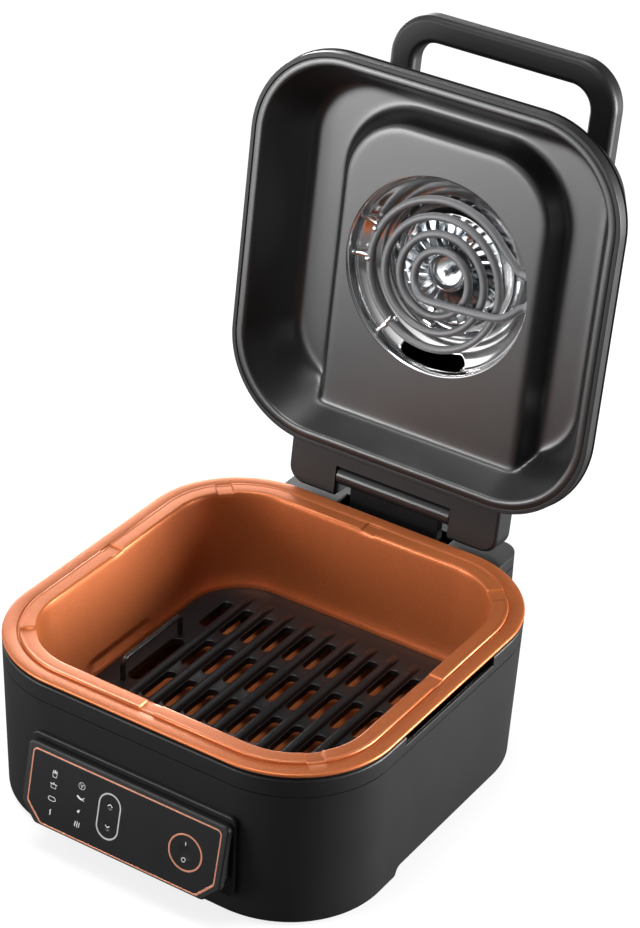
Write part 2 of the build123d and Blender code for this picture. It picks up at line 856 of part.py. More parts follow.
def make_inner_body():
    """Power board, lid switch and the cord inlet."""
    floor = plate_z + plate_thick
    wide, long = power_board_size
    near_x = power_board_side - bulge_half_x
    far_y = bulge_back_y - power_board_inset
    low = floor + power_board_rise
    power = span_box(near_x, near_x + wide, far_y - long, far_y, low, low + power_board_thick)
    for y in (far_y - long + 6, far_y - 6):
        power += upright_rod(2.0, floor, low + 0.5, near_x + 6, y)
    part_y = far_y - long / 2
    power += span_box(near_x + 6, near_x + 20, part_y, part_y + 14, low + 1, low + 18)
    long, thick, high = lid_switch_size
    top = bulge_top_z - skirt_wall
    switch = span_box(64, 64 + long, hinge_y - thick / 2, hinge_y + thick / 2, top - high, top)
    gland = gland_body(gland_radius)
    return power, switch, gland


def gland_body(radius):
    """Cord inlet through the back of the bulge, along Y."""
    turn = Rot(90, 0, 0)
    collar_y = bulge_back_y - skirt_wall - 3
    collar = Pos(gland_x, collar_y + 1.5, gland_z) * turn * Cylinder(gland_flange, 3)
    tube = Pos(gland_x, collar_y + gland_length / 2, gland_z) * turn * Cylinder(radius, gland_length)
    bore = Pos(gland_x, collar_y + gland_length / 2, gland_z) * turn * Cylinder(radius / 2, gland_length + 4)
    return collar + tube - bore


def gland_seat():
    """Hole in the bulge for the cord inlet."""
    turn = Rot(90, 0, 0)
    return Pos(gland_x, bulge_back_y, gland_z) * turn * Cylinder(gland_radius, 4 * skirt_wall)


# Lid, modelled shut


def depth(value):
    """Height of a depth measured from the lid's rim plane."""
    return rim_plane_z + value


def cover_half_at(level):
    """Half size and corner of the dome's outside at a depth."""
    low = frame_depth + frame_gap
    share = (level - low) / (cover_depth - low)
    half = cover_half + share * (cover_top_half - cover_half)
    return half, cover_corner + share * (cover_top_corner - cover_corner)


def cover_slope():
    """Lean of the dome's sides, in radians from upright."""
    return math.atan2(cover_half - cover_top_half, cover_depth - frame_depth - frame_gap)


def cover_block(low_depth, high_depth, inset):
    """The dome's form between two depths, drawn in by an inset."""
    low, low_corner = cover_half_at(low_depth)
    high, high_corner = cover_half_at(high_depth)
    return tapered_block(
        (low - inset, low - inset, low_corner - inset, depth(low_depth)),
        (high - inset, high - inset, high_corner - inset, depth(high_depth)),
    )


def cover_outside():
    """The dome's outer form with its rounded top."""
    form = cover_block(frame_depth + frame_gap, cover_depth, 0.0)
    return fillet(form.faces().sort_by(Axis.Z)[-1].edges(), cover_round)


def cover_inset():
    """Level distance from the dome's outer side to its inner one."""
    return cover_wall / math.cos(cover_slope())


def cover_inside():
    """The dome's inner form, one wall inside the outer one."""
    return cover_block(frame_depth - 2, cover_depth - cover_wall, cover_inset())


def make_cover():
    """Dome with a rounded top, an inner wall and rear vent slots."""
    cover = cover_outside() - cover_inside()
    for index in range(vent_rows):
        level = vent_first_depth + index * vent_pitch
        half, _ = cover_half_at(level)
        cover -= span_box(
            -vent_half_x, vent_half_x, half - 12, half + 12, depth(level), depth(level + vent_slot)
        )
    for x, level in handle_screw_places():
        cover -= slope_screw_hole(x, level, -1)
    for x, level in hinge_screw_places():
        cover -= slope_screw_hole(x, level, 1)
    return cover


def make_vent_grille():
    """Inner louvre behind the vent slots, on the inside of the dome's rear slope."""
    low_depth = vent_first_depth - 4
    high_depth = vent_first_depth + vent_rows * vent_pitch + 2
    low_half, _ = cover_half_at(low_depth)
    high_half, _ = cover_half_at(high_depth)
    wall = cover_inset()
    half_x = vent_half_x + 5
    profile = Polygon(
        (low_half - wall, depth(low_depth)), (low_half - wall - 2, depth(low_depth)),
        (high_half - wall - 2, depth(high_depth)), (high_half - wall, depth(high_depth)), align=None,
    )
    plane = Plane(origin=(-half_x, 0, 0), x_dir=(0, 1, 0), z_dir=(1, 0, 0))
    grille = extrude(plane * profile, amount=2 * half_x, dir=(1, 0, 0))
    for index in range(11):
        x = (index - 5) * 8.0
        grille -= span_box(x - 2.4, x + 2.4, 0, 2 * cover_half, depth(low_depth + 4), depth(high_depth - 4))
    return grille


def handle_leg_middle():
    """X of each handle leg's middle."""
    return (handle_outer_half + handle_inner_half) / 2


def slope_screw_hole(x, level, side):
    """Hole through the dome and into the piece outside it for one screw."""
    rod = Pos(0, 0, screw_reach / 2 - cover_wall) * Cylinder(slope_screw_radius, screw_reach + 2 * cover_wall)
    return slope_place(x, level, side).location * rod


def slope_screw(x, level, side):
    """Screw square to the dome's slope, its head against the inner wall."""
    head = Pos(0, 0, -cover_wall - slope_screw_head_thick / 2)
    head = head * Cylinder(slope_screw_head, slope_screw_head_thick)
    shank_long = screw_reach + cover_wall + 0.5
    shank = Pos(0, 0, screw_reach - shank_long / 2) * Cylinder(slope_screw_radius, shank_long)
    return slope_place(x, level, side).location * (head + shank)


def handle_screw_places():
    """X and depth of each handle screw."""
    level = (handle_near + handle_far) / 2 - 4
    return [(side * handle_leg_middle(), level) for side in (-1, 1)]


def hinge_screw_places():
    """X and depth of each screw into the hinge block."""
    level = (frame_depth + block_back_depth) / 2 + 1
    return [(x, level) for x in (-hinge_screw_x, 0, hinge_screw_x)]


def make_handle():
    """Loop handle: outer outline less the hand opening, cut to the dome's slope."""
    outer_y = (handle_reach + handle_root) / 2
    outer = Pos(0, -outer_y) * Rectangle(2 * handle_outer_half, handle_reach - handle_root)
    tips = outer.vertices().sort_by(Axis.Y)[:2]
    outer = fillet(tips, handle_outer_corner)
    inner_root = handle_root - 20
    inner_y = (handle_inner_reach + inner_root) / 2
    inner = Pos(0, -inner_y) * Rectangle(2 * handle_inner_half, handle_inner_reach - inner_root)
    inner_tips = inner.vertices().sort_by(Axis.Y)[:2]
    inner = fillet(inner_tips, handle_inner_corner)
    outline = outer - inner
    bar = extrude(Pos(0, 0, depth(handle_near)) * outline, amount=handle_far - handle_near)
    long_edges = bar.edges().filter_by(lambda edge: abs(edge.tangent_at(0.5).Z) < 0.1)
    front_edges = [edge for edge in long_edges if edge.center().Y < -handle_root - 4]
    bar = fillet(front_edges, handle_round)
    bar -= cover_outside()
    for x, level in handle_screw_places():
        bar -= slope_screw_hole(x, level, -1)
    return max(bar.solids(), key=lambda solid: solid.volume)


def make_slope_screws():
    """Screws from inside the dome into the handle's legs and into the hinge block."""
    handle = [slope_screw(x, level, -1) for x, level in handle_screw_places()]
    hinge = [slope_screw(x, level, 1) for x, level in hinge_screw_places()]
    return solids_of(*handle), solids_of(*hinge)


def make_plaque():
    """Low bare plate on the front slope, between the handle's legs."""
    plate = slope_place(0, plaque_depth, -1).location * Box(*plaque_size, 2 * plaque_rise)
    plate = fillet(plate.edges().filter_by(Axis.X), 1.0)
    plate -= cover_outside()
    return max(plate.solids(), key=lambda solid: solid.volume)


def cover_reach(level, turn):
    """How far the dome reaches at a depth, in a direction turned from straight ahead."""
    half, corner = cover_half_at(level)
    return (half - corner) * (math.sin(turn) + math.cos(turn)) + corner


def slope_place(x, level, side):
    """Plane on the dome's front (side -1) or rear (side 1), facing outwards, also at its corners."""
    half, corner = cover_half_at(level)
    middle = half - corner
    turn = math.asin(max(abs(x) - middle, 0.0) / corner)
    lean = math.atan(cover_reach(level, turn) - cover_reach(level + 1, turn))
    across = math.copysign(math.sin(turn), x)
    place = (x, side * (middle + corner * math.cos(turn)), depth(level))
    outward = (across * math.cos(lean), side * math.cos(turn) * math.cos(lean), math.sin(lean))
    return Plane(origin=place, x_dir=(math.cos(turn), -side * across, 0), z_dir=outward)


def make_frame():
    """Ring between the liner's lip and the dome."""
    outer = straight_block(frame_half, frame_half, frame_corner, depth(-0.4), depth(frame_depth))
    inner = straight_block(
        lid_lip_half + 0.3, lid_lip_half + 0.3, lid_lip_corner + 0.3, depth(-2), depth(frame_depth + 2)
    )
    ledge = straight_block(frame_half, frame_half, frame_corner, depth(liner_wall), depth(frame_depth))
    ledge -= straight_block(
        lid_mouth_half + 3, lid_mouth_half + 3, lid_mouth_corner + 3, depth(-2), depth(frame_depth + 2)
    )
    frame = outer - inner + ledge
    tongue = straight_block(
        cover_half - cover_wall - 0.8, cover_half - cover_wall - 0.8, cover_corner - cover_wall - 0.8,
        depth(frame_depth - 1), depth(frame_depth + 3),
    )
    tongue -= straight_block(
        cover_half - 2 * cover_wall - 0.8, cover_half - 2 * cover_wall - 0.8,
        cover_corner - 2 * cover_wall - 0.8, depth(frame_depth - 2), depth(frame_depth + 4),
    )
    return frame + (tongue & cover_inside())


def trough_form(grow):
    """The trough of the liner as a solid, grown outwards by the sheet."""
    low = (lid_mouth_half + grow, lid_mouth_half + grow, lid_mouth_corner + grow, depth(0))
    high = (
        lid_trough_half + grow, lid_trough_half + grow, lid_trough_corner + grow, depth(lid_trough_depth + grow)
    )
    form = tapered_block(low, high)
    return fillet(form.faces().sort_by(Axis.Z)[-1].edges(), trough_round + grow)


def platform_form(shrink):
    """The raised platform as a solid that fills the trough from its top to its floor."""
    top = depth(platform_depth + shrink)
    floor = depth(lid_trough_depth + 6)
    rear = lid_mouth_half + 30
    spread = platform_spread * (lid_trough_depth + 6 - platform_depth) / (lid_trough_depth - platform_depth)
    low = platform_plan(platform_half_x - shrink, platform_front - shrink, rear, platform_corner - shrink, top)
    high = platform_plan(
        platform_half_x + spread - shrink, platform_front + spread - shrink, rear,
        platform_corner + spread - shrink, floor,
    )
    form = loft([low, high], ruled=True)
    top_edges = [
        edge for edge in form.faces().sort_by(Axis.Z)[0].edges() if edge.center().Y < rear - 1
    ]
    return fillet(top_edges, max(platform_round - shrink, 1.0))


def platform_plan(half_x, front, rear, corner, z):
    """Plan of the platform: two round front corners, square at the hinge side."""
    middle = (rear - front) / 2
    plan = Pos(0, middle) * Rectangle(2 * half_x, rear + front)
    plan = fillet(plan.vertices().sort_by(Axis.Y)[:2], corner)
    return Pos(0, 0, z) * plan


def make_liner():
    """Deep-drawn inner pan: lip, trough on three sides and the platform with its opening."""
    outer = trough_form(liner_wall) - platform_form(liner_wall)
    cavity = trough_form(0.0) - platform_form(0.0)
    lip = straight_block(lid_lip_half, lid_lip_half, lid_lip_corner, depth(0), depth(liner_wall))
    liner = outer + lip - cavity
    below = straight_block(lid_lip_half + 9, lid_lip_half + 9, 60, depth(-20), depth(0))
    liner -= below
    liner -= upright_rod(opening_radius, depth(0), depth(lid_trough_depth), 0, opening_y)
    return liner


def make_dish():
    """Polished dish: rim under the platform, shoulder with the slot, floor with the shaft hole."""
    rim_near = depth(platform_depth + liner_wall)
    points = [
        (opening_radius + 5, rim_near), (opening_radius - dish_wall, rim_near),
        (opening_radius - dish_wall, depth(dish_rim_depth)), (dish_shoulder_radius, depth(dish_shoulder_depth)),
        (dish_floor_radius, depth(dish_floor_depth)), (dish_shaft_hole, depth(dish_floor_depth)),
        (dish_shaft_hole, depth(dish_floor_depth + dish_wall)),
        (dish_floor_radius + dish_wall, depth(dish_floor_depth + dish_wall)),
        (dish_shoulder_radius + dish_wall, depth(dish_shoulder_depth + dish_wall)),
        (opening_radius, depth(dish_rim_depth + dish_wall)), (opening_radius, rim_near + dish_wall),
        (opening_radius + 5, rim_near + dish_wall),
    ]
    profile = Plane.XZ * Polygon(*points, align=None)
    dish = Pos(0, opening_y) * revolve(profile, Axis.Z)
    slot_low = math.radians(90 - dish_slot_turn / 2)
    slot_high = math.radians(90 + dish_slot_turn / 2)
    middle = (opening_radius + dish_shoulder_radius) / 2
    corners = []
    for angle, radius in (
        (slot_low, middle - dish_slot_width / 2), (slot_low, middle + dish_slot_width / 2),
        (slot_high, middle + dish_slot_width / 2), (slot_high, middle - dish_slot_width / 2),
    ):
        corners.append((radius * math.cos(angle), opening_y + radius * math.sin(angle)))
    slot = Polygon(*corners, align=None)
    dish -= extrude(Pos(0, 0, depth(dish_rim_depth + 1)) * slot, amount=dish_shoulder_depth - dish_rim_depth)
    for y in terminal_places():
        dish -= terminal_rod(y, terminal_radius, opening_radius - 14, opening_radius + 6)
    for angle in probe_angles():
        dish -= probe_rod(angle, probe_radius)
    return dish


def probe_angles():
    """Angles of the temperature probe round the dish."""
    return [135.0]


def probe_rod(angle, radius):
    """Rod standing through the dish floor."""
    turn = math.radians(angle)
    reach = dish_floor_radius - 6
    return upright_rod(
        radius, depth(dish_floor_depth - 8), depth(dish_floor_depth + 8), reach * math.cos(turn),
        opening_y + reach * math.sin(turn),
    )


def terminal_places():
    """Y of the two element ends on the shut lid; the outer end is nearer the front."""
    return outer_end_y, inner_end_y


def terminal_rod(y, radius, x_low, x_high):
    """Cylinder along X at the depth of the element's ends."""
    return cross_rod(radius, x_low, x_high, y, depth(terminal_depth))


def spiral_edges():
    """Half-turn arcs of the spiral, from the outer end inwards, and the last point."""
    edges = []
    radius = spiral_outer
    level = depth(spiral_depth)
    side = 1
    end_x = radius
    for index in range(spiral_half_turns):
        middle_x = end_x - side * radius
        start = Vector(end_x, opening_y, level)
        if index == 0:
            start = outer_start_point()
        end_x = end_x - side * 2 * radius
        end = Vector(end_x, opening_y, level)
        crown = Vector(middle_x, opening_y - side * radius, level)
        edges.append(ThreePointArc(start, crown, end))
        side = -side
        radius -= spiral_pitch / 2
    return edges


def outer_start_point():
    """Where the outer lead meets the spiral."""
    turn = math.radians(outer_start_turn)
    x = spiral_outer * math.cos(turn)
    y = opening_y - spiral_outer * math.sin(turn)
    return Vector(x, y, depth(spiral_depth))


def make_element():
    """One unbroken tube: lead, spiral and the lead that crosses back over the turns."""
    arcs = spiral_edges()
    level = depth(spiral_depth)
    start = outer_start_point()
    y_outer, y_inner = terminal_places()
    turn = math.radians(outer_start_turn)
    back = (y_outer - start.Y) / math.cos(turn)
    corner_x = start.X + back * math.sin(turn)
    far_x = opening_radius - lead_end_gap
    outer_lead = FilletPolyline(
        (far_x, y_outer, level), (corner_x, y_outer, level), tuple(start), radius=outer_lead_bend
    )
    inner_end = arcs[-1] @ 1
    inner_lead = FilletPolyline(
        tuple(inner_end), (inner_end.X, inner_end.Y + lead_first_run, level),
        (inner_end.X + lead_rise_run, lead_low_y, depth(lead_depth)),
        (lead_turn_x, lead_high_y, depth(lead_depth)),
        (far_x - lead_last_run, y_inner, depth(terminal_depth)), (far_x, y_inner, depth(terminal_depth)),
        radius=lead_bends,
    )
    path_edges = list(outer_lead.edges()) + [arc.edges()[0] for arc in arcs] + list(inner_lead.edges())
    path = Wire(path_edges)
    start = path @ 0
    section = Plane(origin=start, z_dir=path % 0) * Circle(tube_radius)
    tube = sweep(section, path=path)
    print("element length", round(path.length, 1))
    print("element volume over section times length", round(tube.volume / (path.length * section.area), 4))
    print("element least gap to itself", round(least_gap(path), 2))
    return tube


def least_gap(path):
    """Smallest gap between two stretches of the tube, measured on points along its path."""
    count = int(path.length / 2)
    points = [path.position_at(index / count) for index in range(count + 1)]
    apart = int(4 * tube_radius) + 4
    nearest = path.length
    for first in range(count + 1):
        for second in range(first + apart, count + 1):
            nearest = min(nearest, (points[first] - points[second]).length)
    return nearest - 2 * tube_radius


def make_terminals():
    """Bushes through the dish wall that hold the element's ends."""
    bushes = []
    far_x = opening_radius - lead_end_gap
    for y in terminal_places():
        bushes.append(terminal_rod(y, terminal_radius, far_x, far_x + terminal_length))
    return solids_of(*bushes)


def make_fan():
    """Impeller with its blades, shaft, nut and the cooling fan behind the dish."""
    plate = upright_rod(fan_radius, depth(fan_far - fan_plate), depth(fan_far), 0, opening_y)
    hub = upright_rod(fan_hub_radius, depth(fan_near), depth(fan_far), 0, opening_y)
    hub -= upright_rod(fan_hub_radius - 2, depth(fan_near - 1), depth(fan_near + 3), 0, opening_y)
    impeller = plate + hub
    for index in range(blade_count):
        turn = 360.0 / blade_count * index
        blade = span_box(
            fan_hub_radius - 1, fan_radius - 1, -blade_thick / 2, blade_thick / 2, depth(fan_near + 1),
            depth(fan_far - 0.5),
        )
        impeller += Pos(0, opening_y) * Rot(0, 0, turn) * blade
    impeller -= upright_rod(shaft_radius, depth(fan_near - 2), depth(fan_far + 2), 0, opening_y)
    shaft = upright_rod(shaft_radius, depth(shaft_near), depth(motor_far - 3), 0, opening_y)
    nut = extrude(
        Pos(0, opening_y, depth(fan_near + 3 - nut_thick)) * RegularPolygon(nut_radius, 6), amount=nut_thick
    )
    nut -= upright_rod(shaft_radius, depth(shaft_near - 1), depth(fan_far), 0, opening_y)
    cooler = upright_rod(cooling_fan_radius, depth(cooling_fan_far - 1), depth(cooling_fan_far), 0, opening_y)
    cooler += upright_rod(8.0, depth(cooling_fan_near), depth(cooling_fan_far), 0, opening_y)
    for index in range(8):
        blade = span_box(7, cooling_fan_radius - 1, -0.6, 0.6, depth(cooling_fan_near), depth(cooling_fan_far))
        cooler += Pos(0, opening_y) * Rot(0, 0, 45.0 * index) * blade
    cooler -= upright_rod(shaft_radius, depth(cooling_fan_near - 1), depth(cooling_fan_far + 1), 0, opening_y)
    return impeller, shaft, nut, cooler


def make_motor():
    """Motor and the bridge bracket that hangs it on the liner."""
    motor = upright_rod(motor_radius, depth(motor_near), depth(motor_far), 0, opening_y)
    motor -= upright_rod(shaft_radius + shaft_clearance, depth(motor_near - 1), depth(motor_far - 2), 0, opening_y)
    low_y = opening_y - bracket_half_y
    high_y = opening_y + bracket_half_y
    sheet = bracket_sheet
    ground = depth(lid_trough_depth + liner_wall)
    bridge = span_box(-bracket_half_x, bracket_half_x, low_y, high_y, depth(motor_near) - sheet, depth(motor_near))
    nuts = []
    for side in (-1, 1):
        edge = side * bracket_half_x
        low, high = sorted((edge, edge - side * sheet))
        bridge += span_box(low, high, low_y, high_y, ground, depth(motor_near))
        low, high = sorted((edge, edge - side * bracket_tab))
        bridge += span_box(low, high, low_y, high_y, ground, ground + sheet)
        for y in (low_y + 5, high_y - 5):
            x = edge - side * (bracket_tab - 5)
            bridge -= upright_rod(1.5, ground - 1, ground + sheet + 1, x, y)
            stud = upright_rod(1.5, ground, ground + 6, x, y)
            nuts.append(stud + upright_rod(3.0, ground + sheet, ground + sheet + 2.4, x, y))
    bridge -= upright_rod(8.0, depth(motor_near - 3), depth(motor_near + 1), 0, opening_y)
    return motor, bridge, solids_of(*nuts)


def make_clips(tube):
    """Clips from the dish wall that hold the element's outer turn."""
    clips = []
    level = depth(spiral_depth + tube_radius)
    for angle in clip_angles:
        strap = span_box(
            spiral_outer - clip_grip, opening_radius - dish_wall - clip_end_gap, -clip_width / 2, clip_width / 2,
            level, level + clip_thick,
        )
        grip = span_box(
            spiral_outer - clip_grip, spiral_outer + clip_grip, -clip_width / 2, clip_width / 2,
            depth(spiral_depth - tube_radius) - clip_thick, level + clip_thick,
        )
        clip = Pos(0, opening_y) * Rot(0, 0, angle) * (strap + grip)
        clip -= tube
        clips.append(max(clip.solids(), key=lambda solid: solid.volume))
    return solids_of(*clips)


def make_sensors():
    """Temperature probe through the dish floor and thermal fuse on the bracket."""
    probe = probe_rod(probe_angles()[0], probe_radius)
    turn = math.radians(probe_angles()[0])
    reach = dish_floor_radius - 6
    probe += upright_rod(
        2 * probe_radius, depth(dish_floor_depth + dish_wall), depth(dish_floor_depth + 3),
        reach * math.cos(turn), opening_y + reach * math.sin(turn),
    )
    fuse_z = depth(motor_near) + fuse_radius
    fuse = cross_rod(fuse_radius, 40, 62, opening_y, fuse_z)
    fuse += span_box(42, 60, opening_y - 1.5, opening_y + 1.5, depth(motor_near), fuse_z)
    return probe, fuse


def make_hinge_block():
    """Two arms joined by a bridge, rounded at their ends, against the dome and the frame."""
    back_y = hinge_y + block_reach
    block = span_box(
        -arm_outer_x, arm_outer_x, block_root_y, back_y, depth(block_front_depth), depth(block_back_depth)
    )
    corners = block.edges().filter_by(Axis.Z).sort_by(Axis.Y)[-2:]
    block = fillet(corners, block_end_round)
    long_edges = block.edges().filter_by(Axis.X).sort_by(Axis.Y)[-2:]
    block = fillet(long_edges, 3.0)
    gap = arm_inner_x
    block -= span_box(-gap, gap, hinge_y - block_bridge, back_y + 5, depth(-5), depth(block_back_depth + 5))
    block -= cross_rod(pin_radius + pin_clearance, -arm_outer_x + 3, arm_outer_x - 3, hinge_y, hinge_z)
    block -= cover_outside()
    block -= straight_block(frame_half, frame_half, frame_corner, depth(-5), depth(frame_depth + frame_gap))
    for x, level in hinge_screw_places():
        block -= slope_screw_hole(x, level, 1)
    return max(block.solids(), key=lambda solid: solid.volume)


def export(name, shape):
    """Writes one node."""
    export_step(shape, os.path.join("parts", name + ".step"))


def main():
    nodes = {}
    nodes["base_housing"], nodes["housing_rim"] = make_body_shell()
    nodes["base_plate"], nodes["rubber_feet"], nodes["base_screws"] = make_floor()
    nodes["heat_shield"] = make_well()
    nodes["cooking_pot"] = make_pot()
    nodes["grill_plate"], nodes["grill_plate_left"], nodes["grill_plate_right"], tips, loops = make_grill()
    nodes["grill_bumpers"] = tips
    nodes["grill_handles"] = loops
    nodes["hinge_bracket"], nodes["hinge_pin"], nodes["torsion_springs"] = make_hinge()
    outside = body_outside(0.0, skirt_bottom_z, rim_top_z, bulge_top_z)
    nodes["panel_bezel"] = make_bezel(outside)
    trim, lens, arrow_ring, power_ring = make_panel_faces()
    nodes["panel_trim"] = trim
    nodes["panel_lens"] = lens
    nodes["arrow_key_ring"] = arrow_ring
    nodes["power_key_ring"] = power_ring
    nodes["arrow_rocker"], nodes["power_rocker"] = make_keys()
    nodes["control_board"], nodes["display_module"], nodes["key_switches"] = make_boards()
    nodes["power_board"], nodes["lid_switch"], nodes["cord_gland"] = make_inner_body()
    lid = {}
    lid["lid_liner"] = make_liner()
    lid["lid_frame"] = make_frame()
    lid["lid_cover"] = make_cover()
    lid["vent_grille"] = make_vent_grille()
    lid["lid_handle"] = make_handle()
    lid["handle_screws"], lid["hinge_screws"] = make_slope_screws()
    lid["lid_plaque"] = make_plaque()
    lid["lid_hinge_block"] = make_hinge_block()
    lid["reflector_dish"] = make_dish()
    lid["heating_element"] = make_element()
    lid["element_terminals"] = make_terminals()
    lid["element_clips"] = make_clips(lid["heating_element"])
    lid["temperature_probe"], lid["thermal_fuse"] = make_sensors()
    lid["fan_impeller"], lid["fan_shaft"], lid["fan_nut"], lid["cooling_fan"] = make_fan()
    lid["fan_motor"], lid["motor_bracket"], lid["bracket_nuts"] = make_motor()
    for name, shape in lid.items():
        nodes[name] = in_lid(shape)
    for name, shape in nodes.items():
        export(name, shape)


if __name__ == "__main__":
    main()
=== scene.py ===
"""Looks of an air fryer grill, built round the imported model."""

import json
import math

import bmesh
import bpy
from mathutils import Matrix, Vector


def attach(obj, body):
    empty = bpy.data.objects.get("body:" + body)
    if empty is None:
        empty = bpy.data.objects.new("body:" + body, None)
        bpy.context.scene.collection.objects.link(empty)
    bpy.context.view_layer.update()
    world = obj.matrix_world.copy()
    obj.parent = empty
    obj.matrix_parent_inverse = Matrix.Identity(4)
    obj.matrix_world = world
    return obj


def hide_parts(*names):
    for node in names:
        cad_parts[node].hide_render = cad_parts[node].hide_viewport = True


bl_info = {
    "name": "Air fryer grill",
    "version": (1, 0, 0),
    "blender": (4, 5, 0),
    "location": "3D View > Sidebar > Grill",
    "description": "Dresses the packed air fryer grill with its finishes and detail",
    "category": "Object",
}

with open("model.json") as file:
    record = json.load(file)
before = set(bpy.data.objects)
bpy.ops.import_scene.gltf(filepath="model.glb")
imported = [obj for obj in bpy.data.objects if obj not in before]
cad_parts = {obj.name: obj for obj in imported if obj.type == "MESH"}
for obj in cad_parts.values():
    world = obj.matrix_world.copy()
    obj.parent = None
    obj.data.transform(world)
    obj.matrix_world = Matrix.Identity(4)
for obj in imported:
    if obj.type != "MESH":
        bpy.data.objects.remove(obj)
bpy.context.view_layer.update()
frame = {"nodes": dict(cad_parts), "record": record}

MM = 0.001

# How near counts as on a level or a line, in millimetres
SLACK = 0.05

# Camera of the photograph, in metres and degrees
CAMERA_PLACE = (0.9696, -1.5015, 1.3533)
CAMERA_TURN = 31.7737
CAMERA_RISE = 31.2827
CAMERA_ROLL = 2.8857
CAMERA_LENS = 113.95

# Floor: the share of white that its shadows leave, its tone to other rays, how far the shadow reaches, and
# the glow of the card at its left, from a near distance to a far one
FLOOR_GLOW = 0.75
FLOOR_BOUNCE = 0.2
FLOOR_PALE = 0.9
FLOOR_WHITE = 1.05
FLOOR_SINK = 0.0004
FLOOR_CARD = (0.45, 0.95, 6.0)
CARD_SIDE = (-0.95, -0.3, 0.0)
CARD_SHARE = 0.5
SHADOW_REACH = (0.45, 1.1)

# Light of the world: on its bright side, on its dark side, and how fast one runs into the other
WORLD_LIGHT = 1.5
WORLD_DARK = 0.07
WORLD_FALL = 5.0
BRIGHT_SIDE = (-0.72, -0.62, 0.31)

# Lamps: their name, the setting of their power, their place, what they face and their width, in metres
LAMPS = (
    ("Lamp above", "key_power", (-0.3, -0.3, 2.4), (0.0, 0.05, 0.2), 1.0),
    ("Lamp low left", "low_power", (-1.3, -1.8, 0.45), (0.0, 0.15, 0.4), 0.8),
    ("Lamp left", "left_power", (-1.2, 1.3, 0.4), (0.0, 0.05, 0.25), 0.8),
    ("Lamp right", "side_power", (1.6, 0.9, 0.3), (0.0, 0.0, 0.05), 0.7),
    ("Lamp behind", "back_power", (-0.9, 1.9, 1.5), (0.0, 0.1, 0.25), 1.0),
)

# CAD nodes: how near their vertices join, in metres, and how their edges are found, in degrees
WELD_DISTANCE = 0.00001
FLAT_ANGLE = 0.3
EDGE_ANGLE = 32.0

# Edge rounding of the nodes that keep their modelled shape, in millimetres
EDGE_ROUNDS = {
    "base_housing": 0.5, "housing_rim": 0.5, "panel_bezel": 1.6, "lid_frame": 0.7, "lid_cover": 0.8,
    "lid_handle": 0.8, "lid_hinge_block": 0.9, "lid_plaque": 0.5, "hinge_bracket": 0.5,
}
# Round wires, and the nodes that a piece modelled here stands in for, get no rounding
PLAIN_NODES = (
    "grill_handles", "torsion_springs", "grill_plate", "grill_plate_left", "grill_plate_right", "cooking_pot",
    "lid_liner", "reflector_dish", "heating_element", "element_clips", "fan_impeller",
)

# Control panel: its plane, the keys and their finger dishes, in millimetres
PANEL_MIDDLE = (0.0, -177.6, 54.4)
PANEL_TILT = math.atan(0.2)
ARROW_KEY = (-11.6, 0.6)
ARROW_DISH = 13.0
ARROW_SPACING = 8.4
POWER_KEY = (55.1, 0.2)
POWER_DISH = 52.0
KEY_SINK = 0.2
DISH_DEPTH = 0.45
PRINT_LIFT = 0.04
PRINT_FLATNESS = 0.12

# Lid: its hinge line, its opening angle and the height of its rim plane when shut
HINGE = (0.0, 179.6, 150.8)
OPEN_TURN = math.radians(-96.1)
RIM_PLANE = 139.9
FAN_Y = 2.0

# Heating element: radii of its half turns, the depth of the spiral, and the ends that dip behind it
SPIRAL_RADII = (64.0, 57.3, 50.6, 43.9, 37.2, 30.5, 23.8)
SPIRAL_END = 66.5
SPIRAL_Y = 5.5
SPIRAL_DEPTH = 34.0
SPIRAL_STEPS = 12
INNER_TURN_Y = 11.0
OUTER_LEAD = ((76.5, -20.0, 34.0), (72.0, -20.0, 34.0), (66.5, -20.6, 34.0), (62.5, -25.0, 34.0))
INNER_LEAD = (
    (-18.0, 17.5, 32.4), (-11.0, 21.4, 28.0), (-1.0, 22.0, 26.6), (20.0, 20.4, 26.4), (45.0, 18.6, 26.4),
    (60.0, 17.0, 27.0), (69.0, 10.0, 30.4), (73.0, 5.0, 33.4), (77.0, 4.0, 34.0),
)

# Clips: their turns about the dish, in degrees, their strap and the curl round the sheath
CLIP_TURNS = (176.0, 200.0, 128.0)
CLIP_PATH = ((78.2, 33.4), (77.2, 35.4), (73.0, 37.2), (68.0, 38.2), (63.5, 38.2))
CLIP_WIDTH = 3.0
CURL_MIDDLE = 62.5
CURL_RADIUS = 3.7
CURL_START = 70.0
CURL_STEP = 27.0
CURL_STEPS = 10

# Fan: hub and disc by radius and depth, and the blades between two radii and two depths
HUB_PROFILE = (
    (2.6, 48.6), (10.0, 48.6), (11.6, 48.2), (12.5, 47.2), (13.0, 45.6), (13.3, 43.6), (13.9, 43.0),
    (14.9, 43.0), (15.5, 43.5), (15.8, 45.0), (16.2, 54.6), (16.8, 55.2), (42.6, 55.2), (42.6, 55.9),
    (5.0, 55.9),
)
HUB_STEPS = 96
BLADE_INNER = 17.0
BLADE_OUTER = 41.5
BLADE_NEAR = 44.0
BLADE_FAR = 55.0
BLADE_RAKE = 1.5
BLADE_SWEEP = 9.0
BLADE_CURVE = 1.5
BLADE_LEAN = 5.0
BLADE_THICK = 0.8

